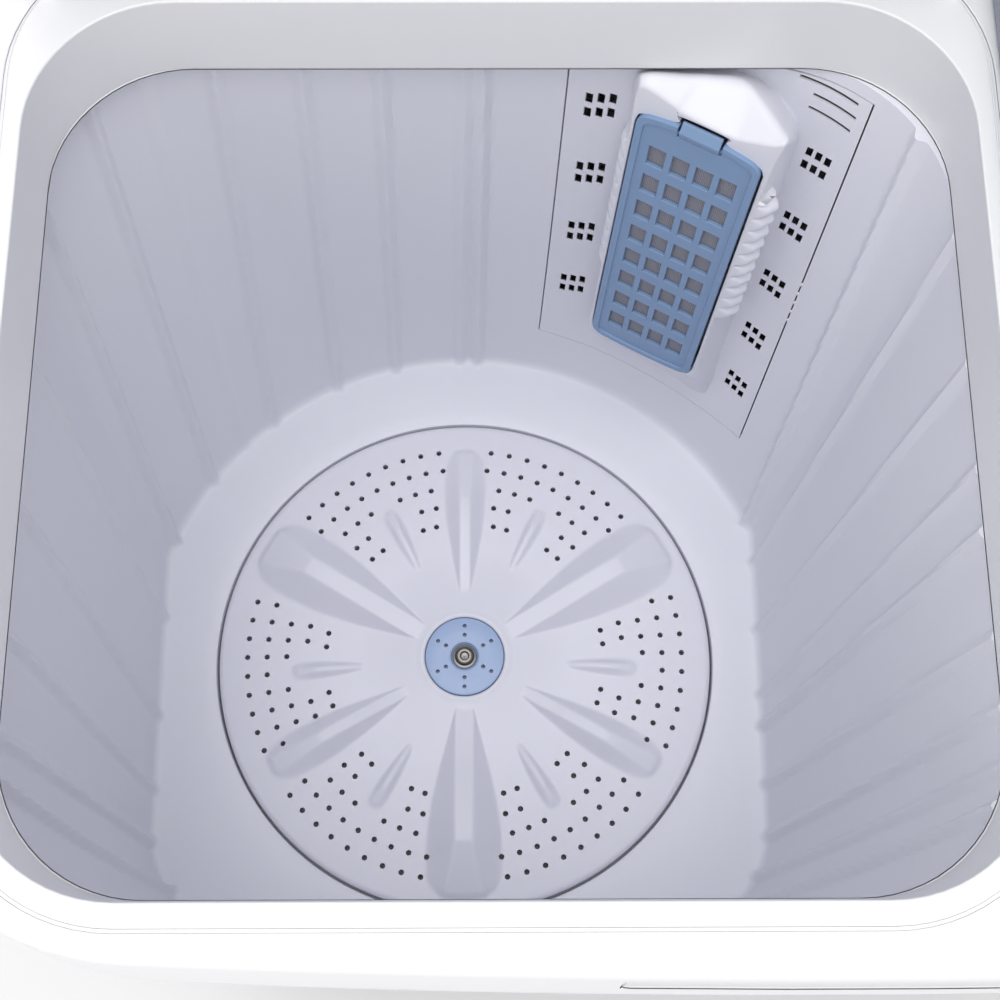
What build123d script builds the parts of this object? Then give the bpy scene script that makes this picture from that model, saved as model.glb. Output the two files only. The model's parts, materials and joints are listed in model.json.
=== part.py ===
from build123d import *
from math import acos, atan2, cos, degrees, hypot, radians, sin, sqrt, tan
import os

# Twin tub washing machine: wash tub on the left, spin tub on the right, controls along the back.
# Millimetres. X runs to the right, Y to the back, Z up. The origin is on the floor, under the middle.

# Outside of the machine
cabinet_width = 750.0
cabinet_front = -252.0
cabinet_back = 230.0
front_bow = 12.0
front_corner_radius = 120.0
back_corner_radius = 30.0
deck_height = 750.0
apron_height = 55.0
apron_flare = 6.0
deck_edge_radius = 7.0
shell_wall = 3.0
foot_height = 20.0
foot_radius = 19.0
base_height = 55.0
neck_rise = 14.0
base_lip = 2.5
base_rib_height = 12.0
base_rib_pitch = 140.0
base_rib_offset = 120.0

# Openings and pressings of the casing
service_half = 300.0
service_margin = 22.0
service_high = 610.0
cover_thickness = 1.5
cover_edge = 16.0
grip_y = 0.0
grip_z = 560.0
grip_length = 110.0
grip_height = 40.0
grip_depth = 16.0
swage_low = 150.0
swage_high = 640.0
swage_proud = 1.5
swage_width = 5.0
swage_half = 240.0
recess_in = 1.2
recess_half = 87.0
recess_low = 712.0
recess_high = 740.0

# Opening over the wash tub and its skirt
wash_x = -130.0
wash_y = -40.0
opening_width = 385.0
opening_depth = 359.0
opening_corner = 58.0
skirt_drop = 46.5
skirt_wall = 2.5
skirt_edge = 0.8
skirt_spread = 1.7
skirt_closing = 2.0
groove_margin = 9.0
groove_width = 1.6
groove_depth = 1.0

# Wash tub, given from the middle of its opening
tub_left = -212.0
tub_right = 200.0
tub_front = -189.0
tub_back = 187.0
tub_corner = 72.0
floor_left = -208.0
floor_right = 161.0
floor_front = -184.0
floor_corner = 60.0
floor_round = 198.0
tub_depth = 383.0
tub_wall = 3.0
tub_flange = 8.0
rib_height = 2.5
rib_width = 8.0

# Where each rib of the wash tub starts on the floor's outline and ends on the rim's. Both outlines have eight
# edges: the whole number is the edge, from the front left corner on, and the rest is the share along it.
rib_feet = [0.09, 0.44, 2.35, 2.66, 2.93, 3.135, 3.33, 3.435, 3.66, 3.90, 4.06]
rib_feet += [5.395, 5.47, 5.742, 6.0, 6.30, 6.45, 6.64, 6.93, 7.235, 7.60, 7.865]
rib_heads = [7.93, 7.99, 2.80, 2.93, 3.06, 3.18, 3.37, 3.49, 3.69, 3.95, 4.375]
rib_heads += [5.50, 5.53, 5.668, 5.80, 5.94, 6.16, 6.395, 6.76, 7.16, 7.47, 7.73]

# Pulsator
pulsator_x = -150.9
pulsator_y = -62.4
pulsator_radius = 151.0
pulsator_gap = 1.6
pulsator_wall = 3.0
rim_depth = 8.0
hub_radius = 22.0
recess_depth = 14.0
cap_radius = 24.0
cap_ring_radius = 26.5
cap_rise = 4.5
cap_screw_radius = 2.8
big_fin_start = 36.0
big_fin_crest = 111.0
big_fin_end = 146.0
big_fin_width = 44.0
big_fin_height = 16.0
big_ridge_width = 11.0
middle_fin_start = 42.0
middle_fin_crest = 92.0
middle_fin_end = 134.0
middle_fin_width = 25.0
middle_fin_height = 10.0
middle_ridge_width = 7.0
small_rib_start = 68.0
small_rib_crest = 88.0
small_rib_end = 109.0
small_rib_width = 9.0
small_rib_height = 4.5
drain_hole_radius = 1.7
drain_row_radius = 132.0
drain_row_pitch = 12.2
drain_step = 5.4

# Fits between pieces that turn or slide
shaft_clearance = 0.05
running_gap = 0.4

# Filter in the back right corner of the wash tub, from the middle of the frame's lower edge
filter_azimuth = -28.0
filter_lean = 5.0
filter_x = -48.1
filter_y = 97.7
filter_z = 471.2
filter_width = 62.0
filter_height = 216.0
filter_thickness = 2.5
filter_corner = 8.0
head_bow = 4.6
foot_bow = 1.8
filter_border = 1.2
border_width = 3.7
filter_pin_radius = 2.0
window_pitch_across = 12.1
window_pitch_up = 23.0
window_width = 8.6
window_height = 14.5
window_columns = 4
window_rows = 8
window_head = 31.5
mesh_thickness = 0.6
latch_width = 20.0
latch_length = 9.0
latch_pin_radius = 1.0
latch_rise = 2.2
hinge_up = 6.0
hinge_in = -6.0
mouth_gap = 1.0
mouth_foot = 3.0
mouth_head = 4.5
housing_wall = 8.0
roof_rise = 19.0
panel_gap = 0.3
panel_thickness = 3.0
panel_top = 229.0
panel_bottom = -50.0
panel_bow = 11.0
panel_left = -66.5
panel_head_right = 62.0
panel_foot_right = 73.0
louvre_count = 12
louvre_first = 80.0
louvre_pitch = 10.4
cluster_right_x = 48.9
cluster_right_y = 178.3
cluster_drift = 2.15
cluster_pitch = 47.3
cluster_left_x = -52.2
cluster_left_y = 193.1
cluster_left_pitch = 59.5
slot_x = 41.0
slot_y = 223.0
slot_pitch = 8.8
slot_length = 28.0

# Spin side
spin_x = 217.0
spin_y = -45.0
spin_opening_radius = 112.0
spin_skirt_drop = 30.0
spin_tub_radius = 128.0
spin_tub_floor = 318.0
basket_radius = 119.0
basket_floor_radius = 108.0
basket_floor = 352.0
basket_dome = 26.0
basket_top = 700.0
basket_wall = 2.5
basket_hub_radius = 24.0
basket_hole_radius = 4.0
basket_hole_rows = 4
basket_holes_per_row = 10
basket_rib_count = 5
spin_shaft_radius = 6.0
bellows_radius = 38.0
drum_radius = 42.0
drum_height = 24.0
drum_z = 241.0
brake_gap = 3.4
brake_reach = 50.0
brake_pivot_right = 55.0
brake_pivot_back = 40.0
brake_pin_radius = 3.0
shoe_front = -14.0
shoe_back = 8.0
spin_motor_radius = 68.0
spin_motor_bottom = 128.0
spin_motor_height = 105.0
motor_bore_depth = 40.0
mount_circle = 58.0
mount_seat_z = 84.0
mount_stud = 20.0
post_radius = 16.0

# Wash drive under the tub
wash_shaft_radius = 8.0
seal_radius = 17.0
gearbox_drop = 22.0
gearbox_radius = 52.0
gearbox_height = 44.0
ear_circle = 66.0
input_shaft_radius = 7.0
big_pulley_radius = 72.0
small_pulley_radius = 22.0
pulley_z = 250.0
pulley_height = 16.0
groove_reach = 7.0
belt_width = 8.0
belt_thickness = 6.0
wash_motor_x = 10.0
wash_motor_y = 65.0
wash_motor_radius = 58.0
wash_motor_bottom = 144.0
wash_motor_height = 92.0
motor_shaft_radius = 6.0
bracket_margin = 14.0
bracket_sheet = 2.5
capacitor_left = 112.0
capacitor_right = 168.0
capacitor_y = 165.0
capacitor_radius = 20.0
capacitor_height = 76.0

# Drain
drain_back = 105.0
drain_port_radius = 14.0
duct_low = 322.0
valve_y = 209.0
valve_radius = 16.0
valve_seat_radius = 7.0
valve_low = 255.0
valve_high = 352.0
rod_radius = 2.0
hose_outer = 13.0
hose_bore = 10.0
spin_pipe_outer = 11.0
spin_pipe_bore = 8.5
spin_port_left = 70.0
outlet_x = -329.0
outlet_z = 110.0
outlet_radius = 11.0
spigot_length = 23.5
shoulder_step = 1.0
shoulder_proud = 1.0
outlet_tail = 30.0

# Lids and their hinges
lid_thickness = 21.0
lid_wall = 2.5
lid_gap = 1.5
lid_front = -227.0
wash_lid_corner = 64.0
wash_lid_left = -328.0
wash_lid_right = 68.0
spin_lid_corner = 96.0
spin_lid_left = 73.0
spin_lid_right = 340.0
lid_line_back = 172.0
hinge_y = 154.0
hinge_pin_radius = 3.0
hinge_lug_width = 8.0
hinge_notch = 20.0
pin_grip = 6.0
open_angle = 95.0
finger_radius = 8.0
finger_length = 90.0

# Console along the back
console_half_width = 352.0
console_height = 108.0
console_front = 183.0
console_lean = 13.0
console_wall = 3.0
face_thickness = 2.0
face_seat = 1.0
face_gap = 0.2
face_half_width = 325.0
face_low = 18.0
face_high = 84.0
knob_height = 49.0
knob_radius = 22.0
knob_depth = 15.0
knob_lift = 0.5
knob_shaft_radius = 3.0
knob_hole_radius = 3.6
knob_spindle = 16.0
wash_knob_x = -235.0
mode_knob_x = -70.0
spin_knob_x = 225.0
timer_front = 6.0
timer_depth = 17.0
crank_back = 7.0
crank_throw = 10.0
crank_pin_length = 15.0
selector_x = 70.0
selector_y = 219.0
selector_travel = 30.0
channel_left = -22.0
channel_right = 192.0
channel_front = 196.0
channel_height = 28.0
fall_y = 204.0
fall_radius = 7.0
wash_fall_x = -10.0
spin_fall_x = 180.0
inlet_z = 769.0
inlet_radius = 10.0
inlet_bore = 7.0
gland_x = 230.0
gland_z = 250.0
gland_neck = 6.0
switch_x = 287.0

# Values that follow from those above
base_floor = foot_height + 4.0
base_top = foot_height + base_height
base_pad_z = base_floor + base_rib_height
service_low = base_top + service_margin
apron_bottom = deck_height - apron_height
apron_slope = degrees(atan2(apron_flare, apron_height))
neck_outset = shell_wall + apron_flare * neck_rise / apron_height + 0.3
deck_underside = deck_height - shell_wall
tub_floor_z = deck_height - tub_depth
collar_z = deck_height - skirt_drop - 1.0
rim_z = tub_floor_z + 2.0
cap_seat_z = rim_z + cap_rise
shaft_top_z = cap_seat_z - 5.5
recess_floor_z = tub_floor_z - recess_depth
gearbox_top = recess_floor_z - gearbox_drop
valve_x = mode_knob_x - crank_throw / 2
drain_x = valve_x
drain_y = pulsator_y + drain_back
hinge_radius = lid_thickness / 2
hinge_z = deck_height + lid_gap + hinge_radius
brake_pivot_x = spin_x + brake_pivot_right
brake_pivot_y = spin_y + brake_pivot_back
hose_z = valve_low + hose_outer + 2.0
face_top = face_thickness - face_seat
knob_y = console_front + knob_height * sin(radians(console_lean))
knob_z = deck_height + knob_height * cos(radians(console_lean))
crank_z = knob_z - (valve_y - knob_y) * tan(radians(console_lean))
plunger_z = duct_low - 3.0 + 0.35
channel_low = deck_height + console_wall + 1.0
fall_low = deck_underside - 7.0
inlet_x = selector_x + selector_travel / 2
console_inner = -console_wall * cos(radians(console_lean))
mouth_half = filter_width / 2 + mouth_gap
housing_half = mouth_half + housing_wall
mouth_top = filter_height + mouth_head
BASE = (Align.CENTER, Align.CENTER, Align.MIN)


def disc(radius, height, z, x=0.0, y=0.0):
    """An upright cylinder that stands at height z."""
    return Pos(x, y, z) * Cylinder(radius, height, align=BASE)


def block(x0, x1, y0, y1, z0, z1):
    """A box between two corners."""
    return Pos((x0 + x1) / 2, (y0 + y1) / 2, z0) * Box(x1 - x0, y1 - y0, z1 - z0, align=BASE)


def lathe(points, x=0.0, y=0.0):
    """A solid turned about an upright axis, from its half outline of radius and height."""
    outline = Polyline(*[(radius, 0, z) for radius, z in points], close=True)
    return Pos(x, y, 0) * revolve(make_face(outline), Axis.Z)


def side_profile(points, x0, x1):
    """A solid of constant section along X, from its outline of Y and Z."""
    outline = Polyline(*[(x0, y, z) for y, z in points], close=True)
    return extrude(make_face(outline), amount=x1 - x0, dir=(1, 0, 0))


def ring_of(count, radius, start=0.0):
    """Places on a circle, each turned to face outwards."""
    step = 360.0 / count
    return [Rot(0, 0, start + i * step) * Pos(radius, 0, 0) for i in range(count)]


def plan(inset, z):
    """The machine's outline from above: bowed front, large front corners, small back ones."""
    half = cabinet_width / 2 - inset
    front = cabinet_front + inset
    back = cabinet_back - inset
    bow = ThreePointArc((-half, front + front_bow), (0, front), (half, front + front_bow))
    rest = Polyline((half, front + front_bow), (half, back), (-half, back), (-half, front + front_bow))
    face = make_face(bow + rest)
    front_pair = face.vertices().sort_by(Axis.Y)[:2]
    face = fillet(front_pair, front_corner_radius - inset)
    back_pair = face.vertices().sort_by(Axis.Y)[-2:]
    face = fillet(back_pair, back_corner_radius - inset)
    return Pos(0, 0, z) * face


def face_inside(edges, z):
    """The face inside a ring of edges, at height z."""
    ring = edges[0]
    for edge in edges[1:]:
        ring += edge
    return Pos(0, 0, z) * make_face(ring)


def rounded_edges(left, right, front, back, radius):
    """The edges of a rectangle with rounded corners, starting with its front left corner."""
    bend = radius * (1 - sqrt(0.5))
    front_left = ThreePointArc((left, front + radius), (left + bend, front + bend), (left + radius, front))
    front_line = Line((left + radius, front), (right - radius, front))
    front_right = ThreePointArc((right - radius, front), (right - bend, front + bend),
                                (right, front + radius))
    right_line = Line((right, front + radius), (right, back - radius))
    back_right = ThreePointArc((right, back - radius), (right - bend, back - bend), (right - radius, back))
    back_line = Line((right - radius, back), (left + radius, back))
    back_left = ThreePointArc((left + radius, back), (left + bend, back - bend), (left, back - radius))
    left_line = Line((left, back - radius), (left, front + radius))
    return [front_left, front_line, front_right, right_line, back_right, back_line, back_left, left_line]


def rounded(left, right, front, back, radius, z):
    """A rectangle with rounded corners at height z."""
    return face_inside(rounded_edges(left, right, front, back, radius), z)


def tub_top_edges(grow):
    """The edges of the wash tub's rim: a rounded rectangle, grown outwards."""
    left = wash_x + tub_left - grow
    right = wash_x + tub_right + grow
    return rounded_edges(left, right, wash_y + tub_front - grow, wash_y + tub_back + grow, tub_corner + grow)


def tub_top_outline(grow, z):
    """The wash tub's rim at height z."""
    return face_inside(tub_top_edges(grow), z)


def tub_floor_edges(grow):
    """The edges of the wash tub's foot: straight sides and front, and a back that is round about the pulsator."""
    left = wash_x + floor_left - grow
    right = wash_x + floor_right + grow
    front = wash_y + floor_front - grow
    corner = floor_corner + grow
    bend = corner * (1 - sqrt(0.5))
    radius = floor_round + grow
    angles = [degrees(acos((right - pulsator_x) / radius)), 70.0, 115.0]
    angles.append(degrees(acos((left - pulsator_x) / radius)))

    def spot(angle):
        return (pulsator_x + radius * cos(radians(angle)), pulsator_y + radius * sin(radians(angle)))

    front_left = ThreePointArc((left, front + corner), (left + bend, front + bend), (left + corner, front))
    front_line = Line((left + corner, front), (right - corner, front))
    front_right = ThreePointArc((right - corner, front), (right - bend, front + bend),
                                (right, front + corner))
    right_line = Line((right, front + corner), spot(angles[0]))
    edges = [front_left, front_line, front_right, right_line]
    for first, last in zip(angles, angles[1:]):
        edges.append(ThreePointArc(spot(first), spot((first + last) / 2), spot(last)))
    edges.append(Line(spot(angles[-1]), (left, front + corner)))
    return edges


def tub_floor_outline(grow, z):
    """The wash tub's foot at height z."""
    return face_inside(tub_floor_edges(grow), z)


def tub_form(grow, floor_drop=0.0):
    """The space inside the wash tub, grown outwards: ruled from the rim's outline to the foot's."""
    foot = tub_floor_outline(grow, tub_floor_z - floor_drop)
    rim = tub_top_outline(grow, deck_underside)
    return loft([foot, rim], ruled=True)


def tub_collar(grow, drop):
    """The upright top of the wash tub, behind the deck's skirt."""
    return extrude(tub_top_outline(grow, collar_z - drop), amount=deck_underside - collar_z + drop)


def wash_tub():
    """The wash tub: ruled walls, an upright collar, a recessed floor, ribs and a rim flange."""
    cavity = tub_form(0.0)
    body = tub_form(tub_wall, tub_wall) + tub_collar(tub_wall, tub_wall) - cavity - tub_collar(0.0, 0.0)
    body += disc(pulsator_radius + pulsator_gap + tub_wall, recess_depth + tub_wall,
                 recess_floor_z - tub_wall, pulsator_x, pulsator_y)
    flange = extrude(tub_top_outline(tub_flange, deck_underside - tub_wall), amount=tub_wall)
    flange &= extrude(plan(shell_wall + apron_flare + 1.0, deck_underside - tub_wall), amount=tub_wall)
    body += flange - tub_collar(0.0, 0.0)
    body -= disc(pulsator_radius + pulsator_gap, recess_depth + 1.0, recess_floor_z, pulsator_x, pulsator_y)
    body += disc(seal_radius + tub_wall, gearbox_drop, gearbox_top, pulsator_x, pulsator_y)
    body += gearbox_posts()
    body -= disc(seal_radius, gearbox_drop + 20.0, gearbox_top - 1.0, pulsator_x, pulsator_y)
    body -= disc(drain_port_radius, tub_wall * 2 + 2.0, recess_floor_z - tub_wall - 1.0, drain_x, drain_y)
    body -= fall_mouth(wash_fall_x, wash_y + tub_back + tub_wall)
    return body + tub_ribs(cavity)


def spot_on(edges, place):
    """The point at a place on an outline: the whole number is the edge, the rest the share along it."""
    return edges[int(place)] @ (place % 1)


def tub_ribs(cavity):
    """Upright bands that stand a little proud of the wall, all round but for the filter."""
    liner = cavity - tub_form(-rib_height)
    liner &= block(-500, 500, -500, 500, tub_floor_z, collar_z)
    liner -= filter_place() * extrude(panel_outline(running_gap), amount=120.0, both=True)
    ribs = []
    for foot_place, head_place in zip(rib_feet, rib_heads):
        foot = spot_on(tub_floor_edges(0.0), foot_place)
        run = spot_on(tub_top_edges(0.0), head_place) - foot + Vector(0, 0, tub_depth)
        inwards = Vector(pulsator_x - foot.X, pulsator_y - foot.Y, 0)
        plane = Plane(origin=(foot.X, foot.Y, tub_floor_z), x_dir=inwards, z_dir=run.cross(inwards))
        blade = extrude(plane * Rectangle(80.0, 900.0), amount=rib_width / 2, both=True)
        ribs.append(liner & blade)
    return ribs


def cabinet():
    """The outer casing: four walls, a step at the top for the deck, and an open back for service."""
    walls = extrude(plan(0.0, base_top), amount=apron_bottom - base_top)
    walls -= extrude(plan(shell_wall, base_top), amount=apron_bottom - base_top)
    ledge = extrude(plan(0.0, apron_bottom - shell_wall) - plan(neck_outset + shell_wall, apron_bottom
                                                                - shell_wall),
                    amount=shell_wall)
    neck = extrude(plan(neck_outset, apron_bottom) - plan(neck_outset + shell_wall, apron_bottom),
                   amount=neck_rise)
    body = walls + ledge + neck
    window = block(-service_half, service_half, cabinet_back - 20.0, cabinet_back + 1.0, service_low,
                   service_high)
    body -= window
    for side in (-1, 1):
        body += side_grip(side)
        body -= grip_pocket(side)
    body += front_swage()
    body -= Pos(outlet_x, cabinet_back, outlet_z) * Rot(90, 0, 0) * Cylinder(outlet_radius + shoulder_step
                                                                             + 0.05, 20.0)
    return body


def side_grip(side):
    """The closed cup behind a hand hold in the side wall."""
    x_wall = side * cabinet_width / 2
    cup = Box(grip_depth + shell_wall, grip_length + 2 * shell_wall, grip_height + 2 * shell_wall)
    return Pos(x_wall - side * (grip_depth + shell_wall) / 2, grip_y, grip_z) * cup


def grip_pocket(side):
    """The hollow of a hand hold, open to the outside."""
    x_wall = side * cabinet_width / 2
    return Pos(x_wall - side * (grip_depth / 2 - 1.0), grip_y, grip_z) * Box(grip_depth + 2.0, grip_length,
                                                                             grip_height)


def front_swage():
    """Two shallow pressed lines across the front, as a stiffener."""
    bars = []
    for z in (swage_low, swage_high):
        band = extrude(plan(-swage_proud, z) - plan(1.0, z), amount=swage_width, taper=0)
        bars.append(band & block(-swage_half, swage_half, cabinet_front - 10.0, cabinet_front + 30.0, z,
                                 z + swage_width))
    return bars


def base():
    """The floor tray that carries the motors, with a rim that locates the cabinet."""
    tray = extrude(plan(0.0, foot_height), amount=base_height)
    tray -= extrude(plan(shell_wall, base_floor), amount=base_height)
    outset = shell_wall + running_gap
    lip = extrude(plan(shell_wall - 0.5, base_top - 12.0) - plan(outset + base_lip, base_top - 12.0),
                  amount=12.0)
    lip += extrude(plan(outset, base_top) - plan(outset + base_lip, base_top), amount=10.0)
    body = tray + lip
    for x, y in spin_mount_places():
        body += disc(post_radius, mount_seat_z - base_floor + 1.0, base_floor - 1.0, x, y)
    for x, y in bracket_places():
        body += disc(10.0, base_rib_height + 1.0, base_floor - 1.0, x, y)
    for i in range(-2, 3):
        x = base_rib_pitch * i
        body += block(x - 1.5, x + 1.5, cabinet_front + 22.0, cabinet_back - 8.0, base_floor - 1.0,
                      base_pad_z)
    reach = cabinet_width / 2 - 10.0
    for y in (-base_rib_offset, base_rib_offset):
        body += block(-reach, reach, y - 1.5, y + 1.5, base_floor - 1.0, base_pad_z)
    return body


def bracket_places():
    """The four pads on the base under the wash motor's bracket."""
    x = wash_motor_radius + bracket_margin + 6.0
    y = wash_motor_radius
    return [(wash_motor_x + i * x, wash_motor_y + j * y) for i in (-1, 1) for j in (-1, 1)]


def spin_mount_places():
    """The three places under the spin motor where it stands on its springs."""
    return [(spin_x + mount_circle * cos(radians(a)), spin_y + mount_circle * sin(radians(a)))
            for a in (90, 210, 330)]


def foot_places():
    """The four corners where the machine stands."""
    x = cabinet_width / 2 - 55.0
    return [(-x, cabinet_front + 62.0), (x, cabinet_front + 62.0), (-x, cabinet_back - 40.0),
            (x, cabinet_back - 40.0)]


def feet():
    """Four rubber feet, each with a wide sole and a narrower neck."""
    outline = [(0, 0), (foot_radius - 2.0, 0), (foot_radius, 2.0), (foot_radius - 4.0, foot_height),
               (0, foot_height)]
    return [lathe(outline, x, y) for x, y in foot_places()]


def rear_cover():
    """The pressed plate that closes the back, with two banks of louvre slots."""
    reach = service_half + cover_edge
    back = cabinet_back + cover_thickness
    plate = block(-reach, reach, cabinet_back, back, service_low - cover_edge, service_high + cover_edge)
    cuts = []
    for bank_x in (-150.0, 150.0):
        for i in range(7):
            cuts.append(Pos(bank_x, cabinet_back, 180.0 + 16.0 * i) * Box(120.0, 12.0, 6.0))
    cuts.append(Pos(gland_x, cabinet_back, gland_z) * Rot(90, 0, 0) * Cylinder(gland_neck + 0.1, 10.0))
    raised = block(-service_half + 30.0, service_half - 30.0, back, back + 3.5, 360.0, 560.0)
    raised = chamfer(raised.faces().sort_by(Axis.Y)[-1].edges(), 3.0)
    return plate - cuts + raised


def opening_form(grow, foot_grow):
    """The wash opening's hollow, grown outwards: a rounded rectangle that changes a little down to the skirt's edge."""
    half = opening_width / 2
    deep = opening_depth / 2
    corner = opening_corner + grow
    rim = rounded(-half - grow, half + grow, -deep - grow, deep + grow, corner, deck_height)
    half += skirt_spread + foot_grow
    deep += foot_grow - skirt_closing
    foot = rounded(-half, half, -deep, deep, corner, deck_height - skirt_drop)
    return Pos(wash_x, wash_y, 0) * loft([foot, rim], ruled=True)


def lid_line(margin, depth):
    """The area inside the shallow line round each opening, down to a depth."""
    left = wash_x - opening_width / 2 - margin
    right = wash_x + opening_width / 2 + margin
    front = wash_y - opening_depth / 2 - margin - 1.5
    face = rounded(left, right, front, lid_line_back, opening_corner + margin, deck_height - depth)
    return extrude(face, amount=depth) + disc(spin_opening_radius + margin, depth, deck_height - depth,
                                              spin_x, spin_y)


def deck():
    """The top cover: a flared apron, the skirted wash opening, the round spin opening and the hinge lugs."""
    shell = extrude(plan(0.0, apron_bottom), amount=apron_height, taper=apron_slope)
    shell = fillet(shell.faces().sort_by(Axis.Z)[-1].edges(), deck_edge_radius)
    shell -= extrude(plan(shell_wall, apron_bottom), amount=apron_height - shell_wall, taper=apron_slope)
    shell -= lid_line(groove_margin, groove_depth) - lid_line(groove_margin - groove_width, groove_depth)
    shell += opening_form(skirt_wall, skirt_edge)
    shell += disc(spin_opening_radius + skirt_wall, spin_skirt_drop, deck_height - spin_skirt_drop, spin_x,
                  spin_y)
    shell -= opening_form(0.0, 0.0)
    shell -= disc(spin_opening_radius, spin_skirt_drop, deck_height - spin_skirt_drop, spin_x, spin_y)
    shell -= front_recess()
    for left, right in ((wash_lid_left, wash_lid_right), (spin_lid_left, spin_lid_right)):
        for x in hinge_lug_places(left, right):
            shell += hinge_lug(x)
    return shell - console_holes()


def console_holes():
    """The holes that the pull rod and the two water falls go through, in the deck and the console's floor."""
    rod = disc(rod_radius + running_gap, 30.0, deck_height - 15.0, valve_x, valve_y)
    falls = [disc(fall_radius + running_gap, 30.0, deck_height - 15.0, x, fall_y)
             for x in (wash_fall_x, spin_fall_x)]
    return falls + [rod]


def front_recess():
    """The shallow blank panel in the middle of the apron."""
    outer = extrude(plan(-2.0, apron_bottom), amount=apron_height, taper=apron_slope)
    inner = extrude(plan(recess_in, apron_bottom), amount=apron_height, taper=apron_slope)
    window = block(-recess_half, recess_half, cabinet_front - 20.0, cabinet_front + 30.0, recess_low,
                   recess_high)
    window = fillet(window.edges().filter_by(Axis.Y), 5.0)
    return (outer - inner) & window


def hinge_lug_places(left, right):
    """Where a lid's two hinge lugs stand: inside the notches at its back corners."""
    inset = hinge_notch / 2
    return (left + inset, right - inset)


def hinge_lug(x):
    """An ear on the deck, with the bore that a hinge pin turns in."""
    half = hinge_lug_width / 2
    ear = block(x - half, x + half, hinge_y - hinge_radius, hinge_y + hinge_radius, deck_height - 1.0,
                hinge_z)
    ear += Pos(x, hinge_y, hinge_z) * Rot(0, 90, 0) * Cylinder(hinge_radius, hinge_lug_width)
    return ear - Pos(x, hinge_y, hinge_z) * Rot(0, 90, 0) * Cylinder(hinge_pin_radius + shaft_clearance, 40.0)


def lid_form(left, right, corner, inset, low, high):
    """A lid's block: rounded front corners, square at the back, between two heights."""
    back = hinge_y + hinge_radius - inset
    corner -= inset
    face = rounded(left + inset, right - inset, lid_front + inset, back, corner, low)
    square_back = block(left + inset, right - inset, back - corner - 1.0, back, low, high)
    return extrude(face, amount=high - low) + square_back


def lid(left, right, corner):
    """A hollow lid with a crowned top edge, a round hinge barrel, pin holes and a finger lip in front."""
    low = deck_height + lid_gap
    high = low + lid_thickness
    body = lid_form(left, right, corner, 0.0, low, high)
    front_edges = body.faces().sort_by(Axis.Z)[-1].edges().filter_by(lambda e: e.center().Y < hinge_y - 5.0)
    body = fillet(front_edges, 6.0)
    ahead = block(left - 5.0, right + 5.0, lid_front - 5.0, hinge_y, low - 5.0, high + 5.0)
    barrel = Pos((left + right) / 2, hinge_y, hinge_z) * Rot(0, 90, 0) * Cylinder(hinge_radius, right - left
                                                                                  + 10.0)
    body &= ahead + barrel
    hollow_back = hinge_y - hinge_radius - lid_wall
    hollow = lid_form(left, right, corner, lid_wall, low - 1.0, high - lid_wall)
    hollow -= block(-500, 500, hollow_back, 500, low - 5.0, high + 5.0)
    body -= hollow
    for x in hinge_lug_places(left, right):
        cut = block(x - hinge_lug_width / 2 - 0.5, x + hinge_lug_width / 2 + 0.5, hinge_y - hinge_radius
                    - 2.0,
                    hinge_y + hinge_radius + 5.0, low - 2.0, high + 2.0)
        body -= cut
    body -= pin_row(left, right, hinge_pin_radius)
    middle = (left + right) / 2
    scoop = Pos(middle, lid_front, low) * Rot(0, 90, 0) * Cylinder(finger_radius, finger_length)
    body -= scoop
    return body


def pin_row(left, right, radius):
    """The two hinge pins of a lid, each through one lug and into the lid on both sides of it."""
    pins = []
    for x in hinge_lug_places(left, right):
        pins.append(Pos(x, hinge_y, hinge_z) * Rot(0, 90, 0)
                    * Cylinder(radius, hinge_lug_width + 2 * pin_grip))
    return pins


def wash_lid():
    """The wash lid, drawn shut and then swung open to where it rests."""
    return opened(lid(wash_lid_left, wash_lid_right, wash_lid_corner))


def wash_lid_pins():
    """The wash lid's two steel hinge pins."""
    return [opened(pin) for pin in pin_row(wash_lid_left, wash_lid_right, hinge_pin_radius)]


def opened(shape):
    """Turns a shape about the hinge from shut to open."""
    hinge = Axis((0, hinge_y, hinge_z), (1, 0, 0))
    return shape.rotate(hinge, -open_angle)


def spin_lid():
    """The spin lid, shut."""
    return lid(spin_lid_left, spin_lid_right, spin_lid_corner)


def spin_lid_pins():
    """The spin lid's two steel hinge pins."""
    return pin_row(spin_lid_left, spin_lid_right, hinge_pin_radius)


def spin_tub():
    """The outer tub of the spin side: a round pot with a flange, a drain port and a neck for the seal."""
    outer = spin_tub_radius + tub_wall
    top = deck_underside
    low = spin_tub_floor
    pot = lathe([(bellows_radius, low - tub_wall), (outer - 12.0, low - tub_wall), (outer, low + 9.0),
                 (outer, top),
                 (spin_tub_radius, top), (spin_tub_radius, low + 10.0), (spin_tub_radius - 10.0, low),
                 (bellows_radius + tub_wall, low), (bellows_radius + tub_wall, low + 12.0),
                 (bellows_radius, low + 12.0)],
                spin_x, spin_y)
    pot -= disc(spin_pipe_outer + 0.1, 20.0, low - 10.0, spin_x - spin_port_left, spin_y + spin_port_left)
    pot -= fall_mouth(spin_fall_x, spin_y + spin_tub_radius)
    return pot


def bellows_seal():
    """The rubber bellows between the spin tub and the shaft, with two folds."""
    low = spin_tub_floor
    outer = bellows_radius - 0.05
    inner = spin_shaft_radius + shaft_clearance
    seal = lathe([(outer, low), (outer, low + 11.0), (outer - 3.0, low + 11.0), (outer - 3.0, low + 3.0),
                  (28.0, low + 3.0),
                  (21.0, low + 16.0), (14.0, low + 8.0), (inner, low + 18.0), (inner, low + 12.0),
                  (14.0, low + 2.0),
                  (21.0, low + 10.0), (26.0, low)], spin_x, spin_y)
    return seal


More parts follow.
